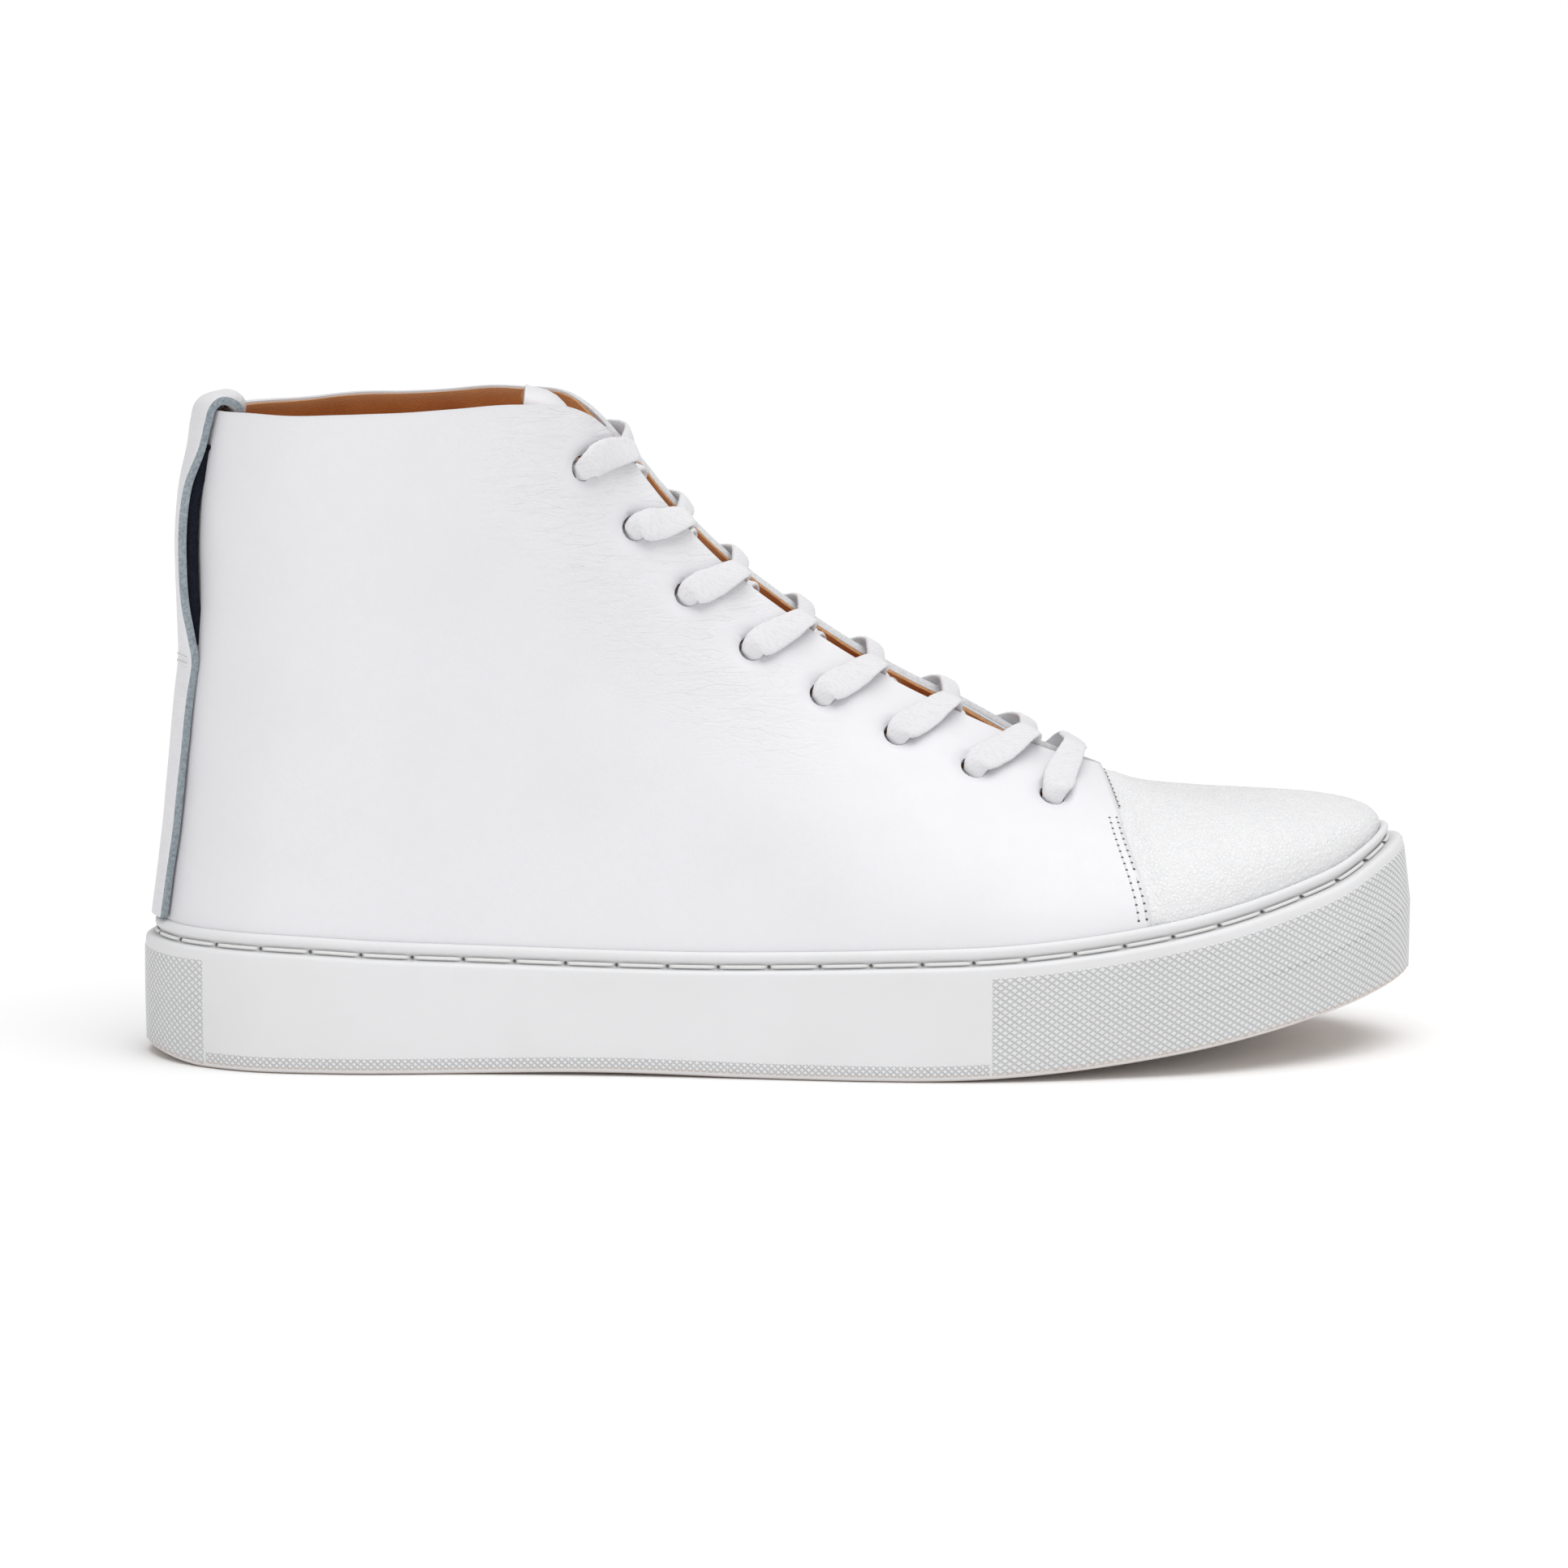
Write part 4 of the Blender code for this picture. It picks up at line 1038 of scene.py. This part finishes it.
def seam_row(side, low, high, behind_low, behind_high, lift):
    """A row of stitches and needle holes along the toe seam between two heights, at distances
    behind the seam's edge at its two ends."""
    s = np.linspace(low, high, 300)
    reach = np.linalg.norm(upper_point(side, np.full_like(s, SEAM + 0.02), s)
                           - upper_point(side, np.full_like(s, SEAM), s), axis=1)
    behind = blend(behind_low, behind_high, ramp(s, low, high))
    t = SEAM - seam_front(s) + 0.02 * behind / reach
    stitches, ends = stitches_along(upper_point(side, t, s), upper_normal(side, t, s), SEAM_PITCH,
                                    SEAM_PITCH * 0.5, 0.28, lift, 0.16)
    return stitches, [(base + up * lift, up) for base, up in ends]


# Each ring of a needle hole is its height over the leather and its share of the radius.
HOLE_RINGS = ((-0.16, 0.55), (-0.02, 1.0), (0.035, 0.75))
HOLE_SIDES = 10


def hole_marks(name, holes, radius):
    """Needle holes: shallow dark dimples of painted shade, each a flattened ball half sunk in the
    leather.
    """
    turn = np.linspace(0, 2 * np.pi, HOLE_SIDES, endpoint=False)[:, None]
    rings = []
    for centre, up in holes:
        u = unit(np.cross(up, [0, 0, 1.0] if abs(up[2]) < 0.9 else [1.0, 0, 0]))
        circle = np.cos(turn) * u + np.sin(turn) * np.cross(up, u)
        rings.extend(centre + up * height + radius * size * circle for height, size in HOLE_RINGS)
    faces = []
    last = (len(HOLE_RINGS) - 1) * HOLE_SIDES
    for start in range(0, len(rings) * HOLE_SIDES, len(HOLE_RINGS) * HOLE_SIDES):
        walls = grid_faces(len(HOLE_RINGS), HOLE_SIDES, flip=True, start=start, loop=True)
        faces.extend(walls.tolist())
        faces.append([start + k for k in range(HOLE_SIDES)][::-1])
        faces.append([start + last + k for k in range(HOLE_SIDES)])
    piece(name, np.vstack(rings), faces, HOLE_SHADE)


def make_toe_seam(side):
    word = WORDS[side]
    stitches, holes = [], []
    for row in ((0.015, 0.66, 0.8, 1.1, 0.03), (0.015, 0.66, 2.6, 2.9, 0.03),
                (0.70, 0.985, -0.8, -1.0, 0.02)):
        more_stitches, more_holes = seam_row(side, *row)
        stitches += more_stitches
        holes += more_holes
    piece(word + "_toe_seam_stitches", *tubes(stitches, 0.17, 6), THREAD,
          stands_for=[word + "_toe_seam_thread"], slot="thread")
    hole_marks(word + "_toe_seam_holes", holes, 0.33)


# ---- Lacing --------------------------------------------------------------------------------

LACE = (3.75, 0.62)            # half width and half thickness where the lace lies flat
LACE_WIDE = (3.95, 0.8)        # the same where it swells beside an eyelet
LACE_FOLDED = (2.5, 0.85)      # the same where two runs cross
LACE_EDGE = (2.8, 0.7)         # the same where it turns over a lacing edge
LACE_ROUND = (2.0, 1.7)        # the same where it is bunched in an eyelet
UNDER, OVER, OVER_EDGE = 6.1, -1.25, -2.9   # depth of the lace's middle in the facing
OVER_BAR = -3.4                # the same for the bottom bar and the run next to it
CROSSINGS = (2.2, 4.4)         # depths of the upper and the lower run where two cross


def lace_strand(side):
    """Half of the lace, from the middle of its bottom bar to its end inside the collar.
    Each stop is a point, the direction away from the foot there, and the lace's half sizes."""
    t = EYELET_T
    pitch = (t[side][-1] - t[side][0]) / (EYELETS - 1)

    def stop(on, station, inset, depth, size, skew=UNDER_SKEW):
        station = station - skew * pitch * (1 - min(inset / eyelet_inset(station), 1))
        return inset_point(on, station, inset, depth), inset_normal(on, station, inset), size

    def between(on, station, share, depth, size):
        """A stop over the tongue, part of the way from one lacing edge to the other."""
        a, b = (stop(to, station, 0, depth, size, 0) for to in (on, -on))
        return blend(a[0], b[0], share), unit(a[1] + b[1]), size

    on = side
    bar = t[on][0] - UNDER_SKEW * pitch
    stops = [between(on, bar, 0.5, OVER_BAR, LACE)]
    stops.append(stop(on, t[on][0], 0.2, OVER_BAR, LACE_EDGE))
    for i in range(EYELETS):
        here = t[on][i]
        hole = eyelet_inset(here)
        skew = OVER_SKEW if i else UNDER_SKEW
        stops.append(stop(on, here, hole - 7.5, OVER - 0.25, LACE, skew))
        stops.append(stop(on, here, hole - 3.6, OVER - 0.35, LACE_WIDE, skew))
        stops.append(stop(on, here, hole - 0.6, OVER + 0.1, (3.2, 1.1), skew))
        stops.append(stop(on, here, hole + 0.7, 0.9, (2.5, 1.6)))
        stops.append(stop(on, here, hole, 4.9, LACE_ROUND))
        if i == EYELETS - 1:
            break
        other = -on
        above = (side == LATERAL) == (i % 2 == 0)
        level = CROSSINGS[0] if above else CROSSINGS[1]
        ahead = t[other][i + 1]
        leaves = blend(here, ahead, 0.22) - UNDER_SKEW * pitch
        arrives = ahead - OVER_SKEW * pitch
        stops.append(stop(on, blend(here, ahead, 0.06), hole - 5, UNDER, (2.6, 0.8)))
        stops.append(stop(on, blend(here, ahead, 0.14), 4.5, UNDER, LACE_FOLDED))
        stops.append(stop(on, leaves, 0.2, UNDER - 0.1, LACE_FOLDED, 0))
        for share, depth in ((0.40, level + 0.15), (0.60, level - 0.15)):
            stops.append(between(on, blend(leaves, arrives, share), share, depth, LACE_FOLDED))
        stops.append(between(other, arrives, 0.07, OVER_EDGE if i else OVER_BAR, LACE_EDGE))
        on = other
    last = t[on][-1]
    for ahead, inset, depth, size in ((0.015, 20, 5.2, (2.6, 0.8)), (0.045, 28, 5.4, LACE),
                                      (0.075, 38, 6.2, LACE), (0.095, 50, 7.4, LACE)):
        stops.append(stop(on, last + ahead, inset, depth, size))
    return stops


LACE_STEP, LACE_SIDES = 0.36, 36
FIBRES = 2600                  # loose fibres standing off the lace
YARN = 1.25                    # spacing of the woven yarns


def braid(along, across):
    """Height of a plain weave laid at 45 degrees to the lace."""
    a, b = (along + across) / YARN, (along - across) / YARN
    over = (np.floor(a) + np.floor(b)) % 2 == 0
    first = np.sin(np.pi * (b % 1)) ** 0.7 * (0.55 + 0.45 * np.sin(np.pi * (a % 1)))
    second = np.sin(np.pi * (a % 1)) ** 0.7 * (0.55 + 0.45 * np.sin(np.pi * (b % 1)))
    return np.where(over, first, second)


def make_lace():
    stops = lace_strand(LATERAL)[::-1] + lace_strand(MEDIAL)[1:]
    route = Line([stop[0] for stop in stops])
    stop_at = route.at / route.span
    count = int(route.span / LACE_STEP)
    at = np.linspace(0, 1, count)
    places = route(at)
    ahead = unit(np.gradient(places, axis=0))

    def along(values):
        """Values at the stops, spread along the lace and smoothed."""
        kernel = np.hanning(9) / np.hanning(9).sum()
        padded = np.pad(read(at, stop_at, np.array(values, float)), ((4, 4), (0, 0)), mode="edge")
        return np.stack([np.convolve(column, kernel, "valid") for column in padded.T], 1)

    away, size = along([stop[1] for stop in stops]), along([stop[2] for stop in stops])
    across = unit(np.cross(ahead, away))
    away = np.cross(across, ahead)

    # The section is a rounded flat band, woven, with a slight wander and uneven edges.
    turn = np.linspace(0, 2 * np.pi, LACE_SIDES, endpoint=False) - np.pi / 2
    round_u = np.sign(np.cos(turn)) * np.abs(np.cos(turn)) ** 0.8
    round_v = np.sign(np.sin(turn)) * np.abs(np.sin(turn)) ** 0.75
    u = round_u[None] * size[:, :1]
    v = round_v[None] * size[:, 1:]
    weave = braid((at * route.span)[:, None], u)
    wobble = 0.10 * np.stack([wave(places, 4, 2.0), wave(places, 4, 6.0)], 1)
    edge_noise = 0.12 * wave((places[:, None] + 40 * round_u[None, :, None]), 1.6, 8.0)
    u = u * (1 + edge_noise * 0.35) + wobble[:, :1]
    swell = 0.13 * (weave - 0.5) + 0.05 * edge_noise
    points = (places[:, None] + across[:, None] * (u + round_u[None] * swell * 0.6)[..., None]
              + away[:, None] * (v + round_v[None] * swell + wobble[:, 1:] * 0.4)[..., None])
    faces = grid_faces(count, LACE_SIDES, loop=True).tolist()
    faces.append(list(range(LACE_SIDES)))
    faces.append(list(range((count - 1) * LACE_SIDES, count * LACE_SIDES))[::-1])
    # The low parts of the weave get painted shade.
    piece("woven_lace", points.reshape(-1, 3), faces, COTTON, stands_for=["lace"], slot="cotton",
          hollow=(1 - ramp(weave, 0.1, 0.6)) * 0.35)
    make_fuzz(points, away, across, round_u, round_v)


def make_fuzz(points, away, across, round_u, round_v):
    """Short loose fibres standing off the lace."""
    chance = np.random.default_rng(7)
    runs = []
    while len(runs) < FIBRES:
        i, k = chance.integers(5, len(points) - 5), chance.integers(0, LACE_SIDES)
        out = unit(across[i] * round_u[k] * 0.8 + away[i] * round_v[k] + chance.normal(0, 0.35, 3))
        side_way = chance.normal(0, 1, 3)
        side_way = unit(side_way - out * (side_way @ out))
        reach = chance.uniform(0.35, 0.8)
        root = points[i, k] - out * 0.1
        runs.append([root, root + out * reach * 0.5 + side_way * 0.12,
                     root + out * reach * 0.8 + side_way * 0.4])
    piece("lace_fibres", *tubes(runs, [0.035, 0.03, 0.012], 3), COTTON, slot="cotton")


def tongue_grid(rows_wanted, columns_wanted):
    """Rows across the tongue, from its sewn base up to its tip."""
    rows = []
    for t in np.linspace(SEAM + 0.035, CORNER - 0.012, 13):
        lateral = [inset_point(LATERAL, t, inset, TONGUE_DEPTH) for inset in TONGUE_INSETS[::-1]]
        medial = [inset_point(MEDIAL, t, inset, TONGUE_DEPTH) for inset in TONGUE_INSETS]
        rows.append(Line(lateral + medial)(np.linspace(0, 1, columns_wanted)))
    rise = unit(rows[-1].mean(axis=0) - rows[-3].mean(axis=0))
    middle = rows[-1].mean(axis=0)
    for distance, width in ((6, 0.97), (11, 0.95), (15.6, 0.89)):
        rows.append(middle + (rows[12] - middle) * (width, width, 1) + rise * distance)
    rows = np.array(rows)
    columns = [Line(rows[:, k])(np.linspace(0, 1, rows_wanted)) for k in range(columns_wanted)]
    return np.stack(columns, 1), rows


def grid_normals(points):
    return unit(np.cross(np.gradient(points, axis=0), np.gradient(points, axis=1)))


def make_tongue():
    fine, coarse = tongue_grid(130, 61)
    across = np.linspace(-1, 1, fine.shape[1])[None]
    down = np.linspace(0, 1, fine.shape[0])[:, None]
    shaped = fine + grid_normals(fine) * (0.25 * wave(fine, 11, 6.1))[..., None]
    shaped[..., 2] += 2.4 * (0.55 - across ** 2) * ramp(down, 0.86, 1)

    # The soft top leans back towards the heel over a rounded shoulder.
    lean = ramp(down, 0.95, 1)
    shaped[..., 0] -= 5.0 * lean ** 1.3
    shaped[..., 2] += 1.3 * np.sin(np.pi * lean) * (1 - 0.5 * across ** 2)

    tan = piece("tan_tongue", shaped.reshape(-1, 3), grid_faces(*fine.shape[:2], flip=True), TAN,
                stands_for=["tongue"], slot="tan_leather", body=None,
                edge=0.6 * ramp(np.abs(across) + 0 * down, 0.96, 1))
    thicken(tan, TONGUE, TAN_EDGE, 0.2)
    top = shaped[-52:]
    normal = grid_normals(top)
    none = np.zeros(top.shape[:2])
    white = piece("white_tongue_top", (top - normal * (TONGUE_TIP + GAP)).reshape(-1, 3),
                  grid_faces(*none.shape, flip=True), SMOOTH, stands_for=["tongue_tip"],
                  slot="white_leather", body=None, crease=none, edge=none)
    thicken(white, TONGUE_TIP, WHITE_EDGE, 0.2)
    seam = (top - normal * 1.3)[2, 2:-2]
    stitches, _ = stitches_along(seam, -normal[2, 2:-2], 2.4, 0.3, 0.25, 0.05, 0.26)
    sewn = piece("tongue_top_stitches", *tubes(stitches, 0.2, 6), THREAD, slot="thread", body=None)
    base, free = (place(coarse[row, coarse.shape[1] // 2]) for row in (1, 5))
    for obj in (tan, white, sewn):
        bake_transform(obj)
        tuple(base)
        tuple(free)


# ---- The heel strap ------------------------------------------------------------------------

def heel_face(s, across):
    """A point of the upper's outer face near the heel's middle, at a distance across it."""
    t = np.linspace(1, 0.86, 60)
    line = upper_point(LATERAL if across < 0 else MEDIAL, t, np.full_like(t, s))
    number = np.arange(len(t))
    return read(np.interp(abs(across), np.abs(line[:, 1]), number), number, line)


HEEL_BACK = -130               # the strap is outside the shoe behind this x


def make_heel_strap():
    """A strip from inside the collar, over its edge, down in a pull loop and on to the sole."""
    inside = LINING_DEPTH + LINING + 2 * GAP
    top = top_point(LATERAL, 1.0)[2]
    # Each row is the height of the strap's inner face, how far it stands behind the heel's
    # outer face, and how much of the heel's roundness it follows.
    rows = [
        (top - 22, -inside, 0.8), (top - 12, -inside, 0.8), (top - 3, -inside, 0.8),
        (top + 0.2, -inside + 0.4, 0.8), (top + 1.2, -inside + 1.9, 0.8), (top + 1.4, -1.2, 0.8),
        (top + 0.3, 0.5, 0.9), (top - 3, 1.0, 0.9), (top - 9, 1.0, 0.8), (top - 18, LOOP_OFF, 0.45),
        (top - 32, LOOP_OFF + 0.4, 0.35), (top - 46, LOOP_OFF, 0.45), (top - 54, 1.1, 0.8),
        (top - 58, 0.7, 1),
        (top - 68, 0.7, 1), (top - 82, 0.7, 1), (top - 98, 0.7, 1), (top - 112, 0.7, 1),
        (rim_height(-150) + 0.6, 0.7, 1),
    ]
    widths = np.linspace(-STRAP_HALF, STRAP_HALF, 25)
    levels = np.linspace(0, 1, 81)
    heel = np.array([heel_face(s, 0) for s in levels])
    face = []
    for z, out, follow in rows:
        s = np.interp(z, heel[:, 2], levels)
        middle = heel_face(s, 0)[0]
        curve = [heel_face(s, y)[0] - middle for y in widths]
        face.append([(middle - out + follow * bend, y, z) for y, bend in zip(widths, curve)])
    coarse = np.array(face)
    fine = np.stack([Line(coarse[:, k])(np.linspace(0, 1, 260)) for k in range(len(widths))], 1)
    normal = grid_normals(fine)
    if normal[-1, 12, 0] > 0:
        normal = -normal
    outer = fine + normal * (STRAP + 0.12 * wave(fine, 10, 8.8))[..., None]
    outer[..., 1] += 0.22 * wave(fine, 6, 3.3) * (np.abs(fine[..., 1]) > STRAP_HALF - 0.5)
    shape = fine.shape[:2]
    obj = piece("heel_strap_leather", outer.reshape(-1, 3), grid_faces(*shape, flip=True), SMOOTH,
                stands_for=["heel_strap"], slot="white_leather",
                crease=np.full(shape, 0.8), edge=np.zeros(shape))
    thicken(obj, STRAP, BLUE_EDGE, 0.12)
    make_heel_backing_and_shade(fine, normal, top)
    inside_shoe = fine[:, 12, 0] > HEEL_BACK
    pinch = np.argmin(np.abs(fine[:, 12, 2] - (top - 58.5)) + 100 * inside_shoe)
    runs = []
    for row in (pinch, pinch + 3):
        stitches, _ = stitches_along(outer[row, 2:-2], normal[row, 2:-2], 2.2, 0.3, 0.25, 0.05, 0.26)
        runs += stitches
    piece("heel_strap_stitches", *tubes(runs, 0.22, 6), THREAD, stands_for=["strap_thread"],
          slot="thread")


def make_heel_backing_and_shade(inner, normal, top):
    """Near-black navy webbing behind the pull loop, under the strap: partly the strap's navy backing,
    partly painted shade for the dark gap behind the loop.
    """
    level = inner[:, 12, 2]
    behind = (level < top - 8) & (level > top - 56) & (inner[:, 12, 0] < HEEL_BACK)
    grid = (inner - normal * 0.2)[behind, 2:-2]
    webbing = piece("heel_backing_and_shade_strip", grid.reshape(-1, 3), grid_faces(*grid.shape[:2], flip=True),
                    NAVY_AND_SHADE, slot="cotton")
    thicken(webbing, 2.6)


# ---- Inside --------------------------------------------------------------------------------

def make_footbed():
    """A cupped leather sock on its foam: higher round its edge, hollowed at the heel."""
    low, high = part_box("footbed")
    rows, columns = 150, 41
    x = np.linspace(low.x / MM + 1.2 - TO_CENTRE[0], high.x / MM - 1.2 - TO_CENTRE[0], rows)
    ring = {}
    for side in WORDS:
        line = outline(side, np.linspace(0, 1, 600), -(LINING_DEPTH + LINING + 1.2))
        order = np.argsort(line[:, 0])
        ring[side] = np.interp(x, line[order, 0], line[order, 1])
    share = np.linspace(-1, 1, columns)[None]
    middle = (ring[LATERAL] + ring[MEDIAL])[:, None] / 2
    half = (ring[MEDIAL] - ring[LATERAL])[:, None] / 2
    y = middle + half * np.sign(share) * np.abs(share) ** 0.9
    top = rim_height(x)[:, None] - (FILLER_DROP - BOARD - FOOTBED - 2 * GAP)
    heel = 1 - ramp(x, -100, -40)[:, None]
    cup = (0.5 + 0.9 * heel) * (np.abs(share) ** 3 - 0.35)
    grid = np.stack([x[:, None] + 0 * y, y, top - 0.9 + cup], -1)
    grid[..., 2] += 0.15 * wave(grid, 18, 1.9)
    obj = piece("leather_footbed", grid.reshape(-1, 3), grid_faces(rows, columns), TAN,
                stands_for=["footbed"], slot="tan_leather", edge=np.zeros((rows, columns)))
    thicken(obj, 2.4, TAN_EDGE, 0.3)


def dress_nodes():
    """The nodes that are carried over get their own looks."""
    film, cloth, board = aglet_plastic(), fabric(), fibreboard()
    looks = {"lateral_aglet": film, "medial_aglet": film, "midsole_filler": foam(),
             "insole_board": board, "shank": spring_steel(), "toe_puff": cloth,
             "vamp_lining": cloth, "heel_counter": board, "tongue_seam_thread": THREAD}
    for name, look in looks.items():
        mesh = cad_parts[name].data
        mesh.materials.clear()
        mesh.materials.append(look)
        if look == film:
            mesh.shade_smooth()


# ---- Stage ---------------------------------------------------------------------------------

AIM = (1.0, 0.0, 63.0)
DISTANCE, AZIMUTH, ELEVATION, LENS = 1820, -2.5, 8.4, 174.8

WORLD = 0.45                                               # strength of the even white surround
SUN, SUN_FROM, SUN_SPREAD = 2.0, (0.14, -0.15, 1.0), 60    # strength, direction, degrees across
FLOOR_REACH = 6.0


def turned_to(direction):
    """The turn of a camera or light whose back faces a direction."""
    return Vector(direction).to_track_quat("Z", "Y").to_euler()


def make_camera():
    data = bpy.data.cameras.new("camera")
    data.lens, data.sensor_width = LENS, 36
    camera = link("camera", data)
    a, e = math.radians(AZIMUTH), math.radians(ELEVATION)
    back = Vector((math.sin(a) * math.cos(e), -math.cos(a) * math.cos(e), math.sin(e)))
    camera.location = Vector(place(AIM)) + back * DISTANCE * MM
    camera.rotation_euler = turned_to(back)
    bpy.context.scene.camera = camera


def soft_light(name, where, towards, size, power):
    data = bpy.data.lights.new(name, "AREA")
    data.shape = "RECTANGLE"
    data.size, data.size_y = size
    data.energy = power
    light = link(name, data)
    light.location = where
    light.rotation_euler = turned_to(Vector(where) - Vector(towards))


def make_stage():
    corners = [(x * FLOOR_REACH, y * FLOOR_REACH, 0) for x, y in ((-1, -1), (1, -1), (1, 1), (-1, 1))]
    mesh = bpy.data.meshes.new("floor")
    mesh.from_pydata(corners, [], [(0, 1, 2, 3)])
    mesh.materials.append(Look("white_floor", (0.97, 0.97, 0.97), 0.8, Specular_IOR_Level=0.1).done())
    link("floor", mesh)
    world = bpy.data.worlds.new("studio")
    world.use_nodes = True
    background = world.node_tree.nodes["Background"]
    background.inputs["Color"].default_value = (1.0, 1.0, 1.0, 1)
    background.inputs["Strength"].default_value = WORLD
    bpy.context.scene.world = world
    bpy.context.scene.view_settings.view_transform = "Standard"
    sun = bpy.data.lights.new("overhead_light", "SUN")
    sun.energy, sun.angle = SUN, math.radians(SUN_SPREAD)
    link("overhead_light", sun).rotation_euler = turned_to(SUN_FROM)
    soft_light("right_softbox", (0.9, -0.9, 0.55), (0.08, 0, 0.05), (0.6, 0.6), 0.9)
    soft_light("front_left_fill", (-0.8, -1.3, 0.15), (-0.08, 0, 0.03), (0.9, 0.3), 2.6)


def main():
    make_cup()
    make_knurling()
    make_sidewall_stitches()
    for side in WORDS:
        make_quarter(side)
        make_lining(side)
        make_stay(side)
        make_toe_seam(side)
    make_toe_cap()
    make_lace()
    make_tongue()
    make_heel_strap()
    make_footbed()
    dress_nodes()
    make_camera()
    make_stage()


main()
